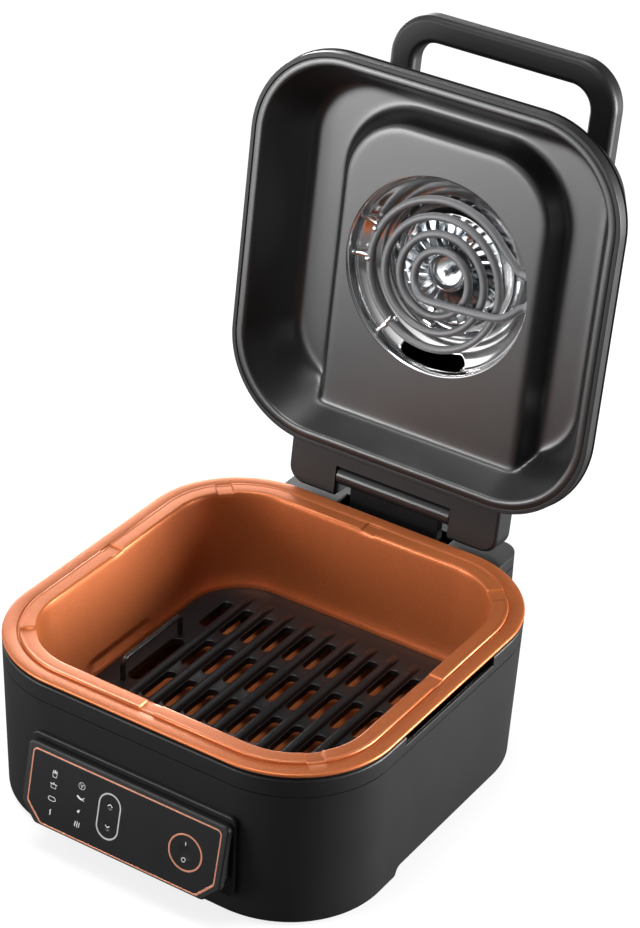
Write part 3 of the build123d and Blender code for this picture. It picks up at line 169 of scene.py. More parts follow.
# Reflector dish by radius and depth, and the slot in its wall
DISH_PROFILE = (
    (84.0, 28.9), (80.4, 28.9), (79.6, 29.2), (79.0, 30.0), (78.7, 31.6), (78.4, 34.0), (78.0, 36.4),
    (77.0, 38.8), (74.8, 40.6), (72.4, 41.9), (70.0, 43.1), (67.6, 44.3), (65.0, 45.6), (61.6, 47.4),
    (57.6, 49.8), (54.0, 52.6), (51.0, 56.0), (49.0, 59.4), (46.4, 61.6), (36.0, 62.2), (6.5, 62.2),
)
DISH_STEPS = 216
DISH_SLOT = (67.6, 77.0)
DISH_SLOT_MIDDLE = (70.0, 74.8)
SLOT_HALF_TURN = 22.0
SLOT_CORNER_TURN = 2.0
SLOT_SMOOTHINGS = 6
SHEET = 0.7

# Grill plate
PLATE_TOP = 55.0
PLATE_HALF = (121.9, 128.3)
PLATE_CORNER = 48.0
PLATE_ROUND = 0.8
SLOT_ROWS = (11, 9, 9, 11)
SLOT_PITCH_X = 19.35
SLOT_PITCH_Y = 51.3
SLOT_RADIUS = 4.7
SLOT_FLAT = 14.4
RIB_COUNT = 10
RIB_REACH = 117.0
RIB_HALF = 4.3
RIB_SLIMMING = 0.74
RIB_ROOT = 1.0
RIB_ROUND = 1.3
RIB_RUNS = (4.0, 20.0)
FINGER_X = 98.45
FINGER_RADIUS = 6.4
FINGER_FLAT = 25.6

# Pot: half sizes, corner and level of its floor, mouth and flange, and half sizes and corner of its ridge
POT_FLOOR = (121.5, 129.0, 46.0, 32.0)
POT_MOUTH = (135.6, 137.8, 58.0, 139.0)
POT_FLANGE = (160.0, 163.0, 81.4, 136.0)
POT_RIDGE = (148.2, 150.7, 70.2)
POT_WALL = 2.4
POT_FLOOR_ROUND = 9.0
POT_OUTSIDE = (12.0, 101.0)
# Edges of the flange, the ridge and the mouth, by inset and rise over the flange
FLANGE_EDGE = (
    (0.3, -2.4), (0.0, -2.1), (0.0, -1.2), (0.3, -0.5), (0.9, -0.1), (1.6, 0.0), (10.4, 0.0), (11.0, -0.3),
    (11.4, -0.8),
)
RIDGE_EDGE = ((0.0, -0.8), (0.1, 0.5), (0.3, 1.0), (0.7, 1.4), (1.2, 1.5), (1.7, 1.3), (2.2, 1.1), (3.0, 1.1))
MOUTH_EDGE = ((-2.2, 1.1), (-1.1, 0.9), (-0.3, 0.3), (0.1, -0.8))
# Inner wall with its shoulder just above the plate, by inset and rise over the floor
POT_INSIDE = (
    (0.0, 100.0), (0.0, 50.0), (0.0, 38.0), (0.3, 33.0), (0.9, 29.0), (1.7, 26.0), (2.4, 24.3), (0.0, 9.0),
)
NOTCH_HALF = 6.0
NOTCH_SLOPE = 0.9
NOTCH_DROP = 1.3
NOTCH_FLOOR = 0.4

# Inner pan of the lid, by depth from the rim plane: half size and corner, and depth where there is one
PAN_LIP = (154.5, 73.1)
PAN_MOUTH = (148.5, 67.5)
PAN_FLOOR = (127.0, 50.0, 46.0)
PAN_START = -8.0
PAN_FLOOR_RISE = 4.0
PAN_FLOOR_INSET = 2.0
PAN_CUT = 1.9
PAN_VOXEL = 1.8
PAN_SMOOTHINGS = 16
LIP_EDGE = ((0.0, 1.2), (0.0, 0.3), (0.3, 0.05), (4.6, 0.05), (5.6, 0.4))
MOUTH_TAPER = ((0.467, 0.38), (1.1, 2.1))
PLATFORM_HALF = 88.0
PLATFORM_FRONT = 108.0
PLATFORM_REAR = 200.0
PLATFORM_CORNER = 52.0
PLATFORM_DEPTH = 27.5
PLATFORM_SPREAD = 12.6
PLATFORM_PAST = 6.0
OPENING_RADIUS = 79.5
OPENING_ENDS = (-2.0, 2.2)


def new_group(name, inputs, outputs):
    """An empty shader group with its sockets and its two end nodes."""
    group = bpy.data.node_groups.new(name, "ShaderNodeTree")
    for label, kind, value in inputs:
        socket = group.interface.new_socket(label, in_out="INPUT", socket_type=kind)
        if value is not None:
            socket.default_value = value
    for label, kind in outputs:
        group.interface.new_socket(label, in_out="OUTPUT", socket_type=kind)
    start = group.nodes.new("NodeGroupInput")
    end = group.nodes.new("NodeGroupOutput")
    return group, start, end


def feed(tree, socket, value):
    """Gives an input a number or a vector, or links another node's output to it."""
    if isinstance(value, (int, float, tuple)):
        socket.default_value = value
    else:
        tree.links.new(value, socket)


def math_node(tree, operation, first, second):
    """A math node's value; each input is a number or a socket."""
    node = tree.nodes.new("ShaderNodeMath")
    node.operation = operation
    feed(tree, node.inputs[0], first)
    feed(tree, node.inputs[1], second)
    return node.outputs[0]


def vector_node(tree, operation, first, label=None, second=None):
    """A vector math node; a second input is named by its label."""
    node = tree.nodes.new("ShaderNodeVectorMath")
    node.operation = operation
    feed(tree, node.inputs[0], first)
    if label is not None:
        feed(tree, node.inputs[label], second)
    return node


def map_range(tree, value, low, high, start=0.0, end=1.0):
    """Maps start to end onto low to high, each a number or a socket."""
    node = tree.nodes.new("ShaderNodeMapRange")
    settings = {"Value": value, "From Min": start, "From Max": end, "To Min": low, "To Max": high}
    for label, given in settings.items():
        feed(tree, node.inputs[label], given)
    return node.outputs["Result"]


def mix_colours(tree, share, first, second):
    """A mix of two colours by a share."""
    node = tree.nodes.new("ShaderNodeMix")
    node.data_type = "RGBA"
    node.inputs["A"].default_value = (*first, 1.0)
    node.inputs["B"].default_value = (*second, 1.0)
    tree.links.new(share, node.inputs["Factor"])
    return node.outputs["Result"]


def noise(tree, vector, scale, detail, roughness=0.6):
    """A noise texture's value."""
    node = tree.nodes.new("ShaderNodeTexNoise")
    settings = {"Vector": vector, "Scale": scale, "Detail": detail, "Roughness": roughness}
    for label, given in settings.items():
        feed(tree, node.inputs[label], given)
    return node.outputs["Fac"]


def cells_of(tree, vector, scale):
    """A cell texture, for its distances and its colours."""
    node = tree.nodes.new("ShaderNodeTexVoronoi")
    feed(tree, node.inputs["Vector"], vector)
    feed(tree, node.inputs["Scale"], scale)
    return node


def moulded_grain_group():
    """Fine spark-eroded grain of moulded plastic, with softer handling blotches."""
    group, start, end = new_group(
        "Moulded grain",
        [
            ("Vector", "NodeSocketVector", None), ("Grain scale", "NodeSocketFloat", 2200.0),
            ("Rough low", "NodeSocketFloat", 0.4), ("Rough high", "NodeSocketFloat", 0.5),
        ],
        [("Height", "NodeSocketFloat"), ("Roughness", "NodeSocketFloat"), ("Mask", "NodeSocketFloat")],
    )
    vector = start.outputs["Vector"]
    fine = noise(group, vector, start.outputs["Grain scale"], 2.0)
    cells = cells_of(group, vector, start.outputs["Grain scale"])
    height = math_node(group, "ADD", fine, math_node(group, "MULTIPLY", cells.outputs["Distance"], 0.5))
    blotch = noise(group, vector, 26.0, 4.0)
    rough = map_range(group, blotch, start.outputs["Rough low"], start.outputs["Rough high"])
    group.links.new(height, end.inputs["Height"])
    group.links.new(rough, end.inputs["Roughness"])
    group.links.new(blotch, end.inputs["Mask"])
    return group


def flake_group():
    """Tiny metallic flakes in a coating: brightness, roughness and height that change from cell to cell."""
    group, start, end = new_group(
        "Coating flakes",
        [
            ("Vector", "NodeSocketVector", None), ("Colour", "NodeSocketColor", (0.5, 0.2, 0.1, 1.0)),
            ("Flake scale", "NodeSocketFloat", 1800.0), ("Spread", "NodeSocketFloat", 0.35),
        ],
        [("Colour", "NodeSocketColor"), ("Roughness", "NodeSocketFloat"), ("Height", "NodeSocketFloat")],
    )
    vector = start.outputs["Vector"]
    cells = cells_of(group, vector, start.outputs["Flake scale"])
    split = group.nodes.new("ShaderNodeSeparateColor")
    group.links.new(cells.outputs["Color"], split.inputs["Color"])
    cloud = noise(group, vector, 14.0, 3.0, 0.55)
    half_spread = math_node(group, "MULTIPLY", start.outputs["Spread"], 0.5)
    low = math_node(group, "SUBTRACT", 1.0, half_spread)
    high = math_node(group, "ADD", 1.0, half_spread)
    level = map_range(group, split.outputs["Red"], low, high)
    shade = math_node(group, "MULTIPLY", level, map_range(group, cloud, 0.93, 1.07))
    tint = vector_node(group, "SCALE", start.outputs["Colour"], "Scale", shade)
    group.links.new(tint.outputs["Vector"], end.inputs["Colour"])
    group.links.new(map_range(group, split.outputs["Green"], 0.3, 0.46), end.inputs["Roughness"])
    group.links.new(split.outputs["Blue"], end.inputs["Height"])
    return group


def brushed_group():
    """Fine drawn or brushed lines along one direction, for steel and the element's sheath."""
    group, start, end = new_group(
        "Drawn lines",
        [
            ("Vector", "NodeSocketVector", None), ("Stretch", "NodeSocketVector", (40.0, 900.0, 900.0)),
            ("Rough low", "NodeSocketFloat", 0.12), ("Rough high", "NodeSocketFloat", 0.3),
        ],
        [("Height", "NodeSocketFloat"), ("Roughness", "NodeSocketFloat"), ("Mask", "NodeSocketFloat")],
    )
    stretch = vector_node(group, "MULTIPLY", start.outputs["Vector"], 1, start.outputs["Stretch"])
    lines = noise(group, stretch.outputs["Vector"], 1.0, 3.0)
    cloud = noise(group, start.outputs["Vector"], 30.0, 3.0)
    rough = map_range(group, cloud, start.outputs["Rough low"], start.outputs["Rough high"])
    group.links.new(lines, end.inputs["Height"])
    group.links.new(rough, end.inputs["Roughness"])
    group.links.new(cloud, end.inputs["Mask"])
    return group


# Materials


class Finishes:
    """Materials by name, made once."""

    groups = {}
    made = {}


def grouped_material(name, group, settings, metallic, specular, bump_strength, bump_distance):
    """A material whose roughness and bump come from a shared group, and its nodes for the colour."""
    material = bpy.data.materials.new(name)
    material.use_nodes = True
    tree = material.node_tree
    shader = tree.nodes["Principled BSDF"]
    shader.inputs["Metallic"].default_value = metallic
    shader.inputs["Specular IOR Level"].default_value = specular
    coords = tree.nodes.new("ShaderNodeTexCoord")
    node = tree.nodes.new("ShaderNodeGroup")
    node.node_tree = Finishes.groups[group]
    tree.links.new(coords.outputs["Object"], node.inputs["Vector"])
    for label, value in settings.items():
        node.inputs[label].default_value = value
    tree.links.new(node.outputs["Roughness"], shader.inputs["Roughness"])
    bump = tree.nodes.new("ShaderNodeBump")
    bump.inputs["Strength"].default_value = bump_strength
    bump.inputs["Distance"].default_value = bump_distance
    tree.links.new(node.outputs["Height"], bump.inputs["Height"])
    tree.links.new(bump.outputs["Normal"], shader.inputs["Normal"])
    Finishes.made[name] = material
    return tree, node, shader.inputs["Base Color"]


def tinted(tree, mask, colour, change):
    """A colour that a mask makes a little lighter or darker."""
    return mix_colours(tree, mask, [c * (1 - change) for c in colour], [c * (1 + change) for c in colour])


def moulded(name, colour, rough, specular=0.5, grain=2200.0, strength=0.15):
    """Moulded plastic or a sprayed coating: fine grain, soft blotches in roughness and tone."""
    settings = {"Grain scale": grain, "Rough low": rough[0], "Rough high": rough[1]}
    tree, node, base = grouped_material(name, "grain", settings, 0.0, specular, strength, 0.0001)
    tree.links.new(tinted(tree, node.outputs["Mask"], colour, 0.12), base)


def flaked(name, colour, metallic, spread):
    """A metallic non-stick coating with small flakes."""
    settings = {"Colour": (*colour, 1.0), "Flake scale": 1800.0, "Spread": spread}
    tree, node, base = grouped_material(name, "flakes", settings, metallic, 0.5, 0.1, 0.00005)
    tree.links.new(node.outputs["Colour"], base)


def drawn(name, colour, rough, stretch=(40.0, 900.0, 900.0), strength=0.05, metallic=1.0, change=0.1):
    """Bare or oxidised metal with fine drawn lines."""
    settings = {"Stretch": stretch, "Rough low": rough[0], "Rough high": rough[1]}
    tree, node, base = grouped_material(name, "lines", settings, metallic, 0.5, strength, 0.0001)
    tree.links.new(tinted(tree, node.outputs["Mask"], colour, change), base)


def make_finishes(colours):
    """All of the object's materials: one per slot of the record, and those of the plate and the print."""
    Finishes.groups["grain"] = moulded_grain_group()
    Finishes.groups["flakes"] = flake_group()
    Finishes.groups["lines"] = brushed_group()
    moulded("matte_black", tuple(colours.body_black), (0.44, 0.52), specular=0.34, grain=2200.0, strength=0.1)
    moulded(
        "gloss_black", tuple(colours.panel_black), (0.2, 0.28), specular=0.35, grain=3000.0, strength=0.02
    )
    moulded(
        "black_nonstick", tuple(colours.liner_black), (0.3, 0.37), specular=0.75, grain=1600.0, strength=0.05
    )
    moulded("cast_plate", (0.009, 0.0098, 0.011), (0.3, 0.38), specular=0.36, grain=1500.0, strength=0.08)
    flaked("copper_nonstick", tuple(colours.copper_coating), metallic=0.5, spread=0.22)
    flaked("copper_trim", tuple(colours.copper_line), metallic=0.6, spread=0.15)
    moulded("pale_ring", (0.42, 0.42, 0.41), (0.3, 0.36), specular=0.5, grain=2600.0, strength=0.04)
    moulded("pale_print", tuple(colours.pale_print), (0.5, 0.6), specular=0.3, grain=2600.0, strength=0.02)
    moulded("black_rubber", (0.018, 0.018, 0.018), (0.6, 0.75), specular=0.3, grain=900.0, strength=0.3)
    drawn("galvanised_steel", (0.55, 0.56, 0.57), (0.25, 0.4))
    moulded("black_wire", (0.012, 0.012, 0.013), (0.22, 0.3), specular=0.5, grain=2000.0, strength=0.05)
    drawn(
        "polished_steel", (0.95, 0.95, 0.95), (0.1, 0.16), stretch=(8.0, 8.0, 500.0), strength=0.01,
        change=0.03,
    )
    drawn(
        "grey_element", (0.13, 0.13, 0.135), (0.42, 0.55), stretch=(900.0, 900.0, 900.0), strength=0.12,
        metallic=0.3,
    )
    drawn("fan_steel", (0.62, 0.64, 0.66), (0.1, 0.2))
    moulded("board_green", (0.02, 0.12, 0.05), (0.35, 0.45))
    moulded("grey_plastic", (0.12, 0.12, 0.125), (0.4, 0.5))


# Scene settings that a user can change


class GrillSizes(bpy.types.PropertyGroup):
    """Sizes of the pieces that are modelled here."""

    edge_round: bpy.props.FloatProperty(
        name="Edge round", description="Usual rounding of the edges", unit="LENGTH", default=0.00025, min=0.0,
        precision=5,
    )
    plate_thickness: bpy.props.FloatProperty(
        name="Plate thickness", description="Thickness of the grill plate", unit="LENGTH", default=0.006,
        min=0.002, precision=4,
    )
    rib_height: bpy.props.FloatProperty(
        name="Rib height", description="Height of the ribs over the grill plate", unit="LENGTH",
        default=0.0036, min=0.002, precision=4,
    )
    sheath_radius: bpy.props.FloatProperty(
        name="Sheath radius", description="Radius of the heating element's tube", unit="LENGTH",
        default=0.0032, min=0.001, precision=4,
    )
    blade_count: bpy.props.IntProperty(
        name="Blades", description="Number of the fan's blades", default=26, min=2, max=40,
    )


class GrillColours(bpy.types.PropertyGroup):
    """Colours of the grill's finishes."""

    body_black: bpy.props.FloatVectorProperty(
        name="Body black", description="Moulded plastic of the body and the lid", subtype="COLOR", size=3,
        min=0.0, max=1.0, default=(0.006, 0.006, 0.0063),
    )
    panel_black: bpy.props.FloatVectorProperty(
        name="Panel black", description="Glossy window of the control panel", subtype="COLOR", size=3,
        min=0.0, max=1.0, default=(0.012, 0.012, 0.013),
    )
    liner_black: bpy.props.FloatVectorProperty(
        name="Liner black", description="Non-stick coating of the lid's inner pan", subtype="COLOR", size=3,
        min=0.0, max=1.0, default=(0.008, 0.008, 0.0084),
    )
    copper_coating: bpy.props.FloatVectorProperty(
        name="Copper coating", description="Non-stick coating of the pot", subtype="COLOR", size=3,
        min=0.0, max=1.0, default=(0.46, 0.125, 0.036),
    )
    copper_line: bpy.props.FloatVectorProperty(
        name="Copper line", description="Thin line and ring of the control panel", subtype="COLOR", size=3,
        min=0.0, max=1.0, default=(0.62, 0.27, 0.17),
    )
    pale_print: bpy.props.FloatVectorProperty(
        name="Pale print", description="Printed signs of the control panel", subtype="COLOR", size=3,
        min=0.0, max=1.0, default=(0.62, 0.64, 0.64),
    )


class GrillStage(bpy.types.PropertyGroup):
    """Floor and lamps."""

    floor_size: bpy.props.FloatProperty(
        name="Floor size", description="Width of the pale floor", unit="LENGTH", default=16.0, min=1.0,
    )
    key_power: bpy.props.FloatProperty(
        name="Key power", description="Power of the large lamp above", subtype="POWER", default=36.0, min=0.0,
    )
    low_power: bpy.props.FloatProperty(
        name="Low power", description="Power of the low lamp at the front left", subtype="POWER",
        default=34.0, min=0.0,
    )
    left_power: bpy.props.FloatProperty(
        name="Left power", description="Power of the lamp at the left", subtype="POWER", default=30.0,
        min=0.0,
    )
    side_power: bpy.props.FloatProperty(
        name="Side power", description="Power of the lamp at the right", subtype="POWER", default=115.0,
        min=0.0,
    )
    back_power: bpy.props.FloatProperty(
        name="Back power", description="Power of the lamp behind", subtype="POWER", default=7.0, min=0.0,
    )


# Shared modelling helpers


def round_cad_edges(obj, width):
    """Joins a CAD node's triangles, rounds its sharp edges and smooths its faces."""
    for face in obj.data.polygons:
        face.use_smooth = True
    weld = obj.modifiers.new("Join", "WELD")
    weld.merge_threshold = WELD_DISTANCE
    if width > 0:
        merge = obj.modifiers.new("Flat faces", "DECIMATE")
        merge.decimate_type = "DISSOLVE"
        merge.angle_limit = math.radians(FLAT_ANGLE)
        bevel = obj.modifiers.new("Edge round", "BEVEL")
        bevel.width = width
        bevel.segments = 2
        bevel.limit_method = "ANGLE"
        bevel.angle_limit = math.radians(EDGE_ANGLE)
        bevel.use_clamp_overlap = True
    normals = obj.modifiers.new("Even shading", "WEIGHTED_NORMAL")
    normals.keep_sharp = True


def new_piece(name, bm, material, body, smooth_angle=35.0):
    """A mesh object from a bmesh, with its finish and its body."""
    mesh = bpy.data.meshes.new(name)
    bm.to_mesh(mesh)
    bm.free()
    for face in mesh.polygons:
        face.use_smooth = True
    mesh.set_sharp_from_angle(angle=math.radians(smooth_angle))
    piece = bpy.data.objects.new(name, mesh)
    bpy.context.scene.collection.objects.link(piece)
    mesh.materials.append(Finishes.made[material])
    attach(piece, body)
    return piece


def tube_mesh(points, radius, closed, smooth, sides, steps):
    """A round tube through points in millimetres, as a mesh."""
    curve = bpy.data.curves.new("tube", "CURVE")
    curve.dimensions = "3D"
    curve.bevel_depth = radius
    curve.bevel_resolution = sides
    curve.resolution_u = steps
    curve.use_fill_caps = True
    spline = curve.splines.new("NURBS" if smooth else "POLY")
    spline.points.add(len(points) - 1)
    for point, place in zip(spline.points, points):
        point.co = (*place, 1.0)
    spline.use_cyclic_u = closed
    if smooth:
        spline.order_u = 3
        spline.use_endpoint_u = not closed
    holder = bpy.data.objects.new("tube", curve)
    mesh = bpy.data.meshes.new_from_object(holder)
    bpy.data.objects.remove(holder)
    bpy.data.curves.remove(curve)
    return mesh


def panel_matrix():
    """From the panel's own millimetres to the frame's metres."""
    turn = Matrix.Rotation(math.pi / 2 - PANEL_TILT, 4, "X")
    return Matrix.Scale(MM, 4) @ Matrix.Translation(PANEL_MIDDLE) @ turn


def print_on_panel(name, place, strokes, body="base", dish=None):
    """Printed strokes round a place; a dish (middle x, middle y, radius) lets them follow a finger dish."""
    bm = bmesh.new()
    for points, closed, smooth, width in strokes:
        mesh = tube_mesh([(x, y, 0.0) for x, y in points], width / 2, closed, smooth, 3, 8)
        mesh.transform(Matrix.Translation((*place, 0.0)))
        bm.from_mesh(mesh)
        bpy.data.meshes.remove(mesh)
    for vert in bm.verts:
        vert.co.z = vert.co.z * PRINT_FLATNESS + PRINT_LIFT
        if dish:
            x, y, radius = dish
            away = math.hypot(vert.co.x - x, vert.co.y - y)
            vert.co.z += radius - math.sqrt(radius ** 2 - away ** 2) - DISH_DEPTH - KEY_SINK
    bmesh.ops.transform(bm, matrix=panel_matrix(), verts=bm.verts)
    new_piece(name, bm, "pale_print", body)


def lid_matrix():
    """From the shut lid's millimetres, with Z as depth from its rim plane, to the open lid in metres."""
    hinge = Matrix.Translation(HINGE)
    turned = hinge @ Matrix.Rotation(OPEN_TURN, 4, "X") @ hinge.inverted()
    return Matrix.Scale(MM, 4) @ turned @ Matrix.Translation((0.0, 0.0, RIM_PLANE))


def spun_mesh(profile, steps):
    """A full turn of a profile of radius and depth pairs, about the Z axis."""
    bm = bmesh.new()
    verts = [bm.verts.new((radius, 0.0, level)) for radius, level in profile]
    edges = [bm.edges.new(pair) for pair in zip(verts, verts[1:])]
    bmesh.ops.spin(
        bm, geom=verts + edges, cent=(0, 0, 0), axis=(0, 0, 1), angle=2 * math.pi, steps=steps, use_merge=True
    )
    bmesh.ops.remove_doubles(bm, verts=bm.verts, dist=0.001)
    return bm


def stadium_loop(bm, radius, flat_x, flat_y, segments, middle):
    """A closed loop of edges: a circle pulled apart into a slot or a rounded rectangle."""
    turn = Matrix.Rotation(math.pi / segments, 4, "Z")
    ring = bmesh.ops.create_circle(bm, segments=segments, radius=radius, matrix=turn)["verts"]
    for vert in ring:
        vert.co.x += math.copysign(flat_x, vert.co.x) + middle[0]
    for vert in ring:
        vert.co.y += math.copysign(flat_y, vert.co.y) + middle[1]
    return list({edge for vert in ring for edge in vert.link_edges})


def slot_middles():
    """Middle of each slot of the grill plate."""
    found = []
    for row, count in enumerate(SLOT_ROWS):
        y = (row - (len(SLOT_ROWS) - 1) / 2) * SLOT_PITCH_Y
        found += [((column - (count - 1) / 2) * SLOT_PITCH_X, y) for column in range(count)]
    return found


def rounded_ring(bm, half_x, half_y, corner, level, segments, middle):
    """Edges of a rounded rectangle at a level."""
    edges = stadium_loop(bm, corner, half_x - corner, half_y - corner, segments, middle)
    verts = list({vert for edge in edges for vert in edge.verts})
    bmesh.ops.translate(bm, verts=verts, vec=(0, 0, level))
    return edges


def ringed_mesh(stations, segments=96, middle=(0.0, 0.0)):
    """A closed skin over rounded rectangles, each with its half sizes, corner and level."""
    bm = bmesh.new()
    loops = [rounded_ring(bm, *station, segments, middle) for station in stations]
    for near, far in zip(loops, loops[1:]):
        bmesh.ops.bridge_loops(bm, edges=near + far)
    bmesh.ops.edgeloop_fill(bm, edges=loops[0])
    bmesh.ops.edgeloop_fill(bm, edges=loops[-1])
    bmesh.ops.recalc_face_normals(bm, faces=bm.faces)
    return bm


def inset_rings(sizes, level, edge):
    """Rings of half sizes, corner and level along an edge of insets and rises."""
    return [(*[size - inset for size in sizes], level + rise) for inset, rise in edge]


def holder_of(name, bm):
    """A linked object that only lends its mesh to a modifier."""
    mesh = bpy.data.meshes.new(name)
    bm.to_mesh(mesh)
    bm.free()
    holder = bpy.data.objects.new(name, mesh)
    bpy.context.scene.collection.objects.link(holder)
    return holder


def drop_holder(holder):
    """Removes such an object and its mesh."""
    mesh = holder.data
    bpy.data.objects.remove(holder)
    bpy.data.meshes.remove(mesh)


def ring_points(radius, count=24):
    """Points round a circle."""
    turns = [2 * math.pi * index / count for index in range(count)]
    return [(radius * math.cos(turn), radius * math.sin(turn)) for turn in turns]


# Operators


class GRILL_OT_finishes(bpy.types.Operator):
    """Makes the materials and dresses the nodes that keep their modelled shape"""

    bl_idname = "grill.finishes"
    bl_label = "Finishes"

    def execute(self, context):
        make_finishes(context.scene.grill_colours)
        usual = context.scene.grill_sizes.edge_round
        slots = {entry["node"]: entry["material_slot"] for entry in frame["record"]["subparts"]}
        for name, obj in frame["nodes"].items():
            obj.data.materials.clear()
            obj.data.materials.append(Finishes.made[slots[name]])
            width = 0.0 if name in PLAIN_NODES else usual
            if name in EDGE_ROUNDS:
                width = EDGE_ROUNDS[name] * MM
            round_cad_edges(obj, width)
        return {"FINISHED"}


# Signs of the panel: the place of each, and its strokes as points, closed or not, smooth or not, and width
LINE = 0.5
FOOD_SIGNS = {
    "sign_fries": ((-61.0, 14.7), [
        ([(-2.0, 0.6), (-1.5, -2.8), (1.5, -2.8), (2.0, 0.6)], True, False, LINE),
        ([(-1.2, 0.6), (-1.5, 2.4)], False, False, 0.8), ([(0.0, 0.6), (0.0, 3.0)], False, False, 0.8),
        ([(1.2, 0.6), (1.5, 2.4)], False, False, 0.8),
    ]),
    "sign_pan": ((-61.0, 5.1), [
        ([(-2.2, 1.1), (-2.0, -1.9), (2.0, -1.9), (2.2, 1.1)], True, False, LINE),
        ([(-3.1, 1.3), (3.1, 1.3)], False, False, LINE), ([(-0.6, 2.3), (0.6, 2.3)], False, False, LINE),
        ([(0.0, 1.3), (0.0, 2.3)], False, False, LINE),
    ]),
    "sign_loaf": ((-61.0, -5.6), [
        (
            [(-3.0, -1.5), (-3.2, 0.6), (-1.9, 1.9), (0.0, 1.5), (1.9, 1.9), (3.2, 0.6), (3.0, -1.5)],
            True, True, 0.45,
        ),
    ]),
    "sign_flame": ((-61.0, -16.3), [
        ([(0.3, 2.2), (-0.4, 0.8), (0.3, -0.4), (-0.2, -2.2)], False, True, 0.9),
    ]),
    "sign_round": ((-37.0, 14.7), [
        (ring_points(2.7), True, False, 0.3), (ring_points(0.7, 12), True, False, 0.3),
        ([(-1.8, 1.8), (-0.8, 0.8)], False, False, 0.3), ([(1.8, 1.3), (0.8, 0.6)], False, False, 0.3),
        ([(0.0, -2.5), (0.0, -1.1)], False, False, 0.3),
    ]),
    "sign_fish": ((-37.0, 5.1), [
        ([(-3.0, 0.9), (-1.9, 0.2), (-0.2, -0.7), (1.4, -0.8)], False, True, 1.5),
        ([(1.2, -0.7), (2.4, 0.0), (3.4, 1.3)], False, True, 0.6),
        ([(1.8, -0.7), (3.2, -1.5)], False, True, 0.6),
    ]),
    "sign_drumstick": ((-37.0, -5.6), [
        ([(-0.5, -1.2), (-0.3, 0.2)], False, False, 1.7), ([(0.0, 0.2), (0.9, 1.5)], False, False, 0.5),
        (ring_points(0.6, 10), True, False, 0.35),
    ]),
    "sign_steam": ((-37.0, -16.3), [
        ([(-1.8, -2.0), (-2.2, -0.7), (-1.4, 0.7), (-1.8, 2.0)], False, True, 0.7),
        ([(0.0, -2.4), (-0.4, -0.7), (0.4, 0.7), (0.0, 2.4)], False, True, 0.7),
        ([(1.8, -2.0), (1.4, -0.7), (2.2, 0.7), (1.8, 2.0)], False, True, 0.7),
    ]),
}
POWER_SIGNS = {
    "sign_on": ((54.5, 7.0), [([(0.0, -1.7), (0.0, 1.7)], False, False, LINE)]),
    "sign_off": ((54.4, -5.9), [(ring_points(1.55), True, False, 0.45)]),
}
# Chevrons of the arrow key: the way each points, its level and their shared shape
CHEVRONS = {"sign_up": (1.0, 9.3), "sign_down": (-1.0, -7.5)}
CHEVRON_X = -11.7
CHEVRON_SHAPE = ((-1.9, -0.8), (0.0, 0.9), (1.9, -0.8))
CHEVRON_LINE = 0.8


class GRILL_OT_panel_signs(bpy.types.Operator):
    """Prints the food signs, the chevrons and the on and off signs of the control panel"""

    bl_idname = "grill.panel_signs"
    bl_label = "Panel signs"

    def execute(self, context):
        for name, (place, strokes) in FOOD_SIGNS.items():
            print_on_panel(name, place, strokes)
        for name, (way, middle) in CHEVRONS.items():
            stroke = ([(x, y * way) for x, y in CHEVRON_SHAPE], False, False, CHEVRON_LINE)
            dish = (ARROW_KEY[0], ARROW_KEY[1] + way * ARROW_SPACING, ARROW_DISH)
            print_on_panel(name, (CHEVRON_X, middle), [stroke], "arrow_key", dish)
        for name, (place, strokes) in POWER_SIGNS.items():
            print_on_panel(name, place, strokes, "power_key", (*POWER_KEY, POWER_DISH))
        return {"FINISHED"}


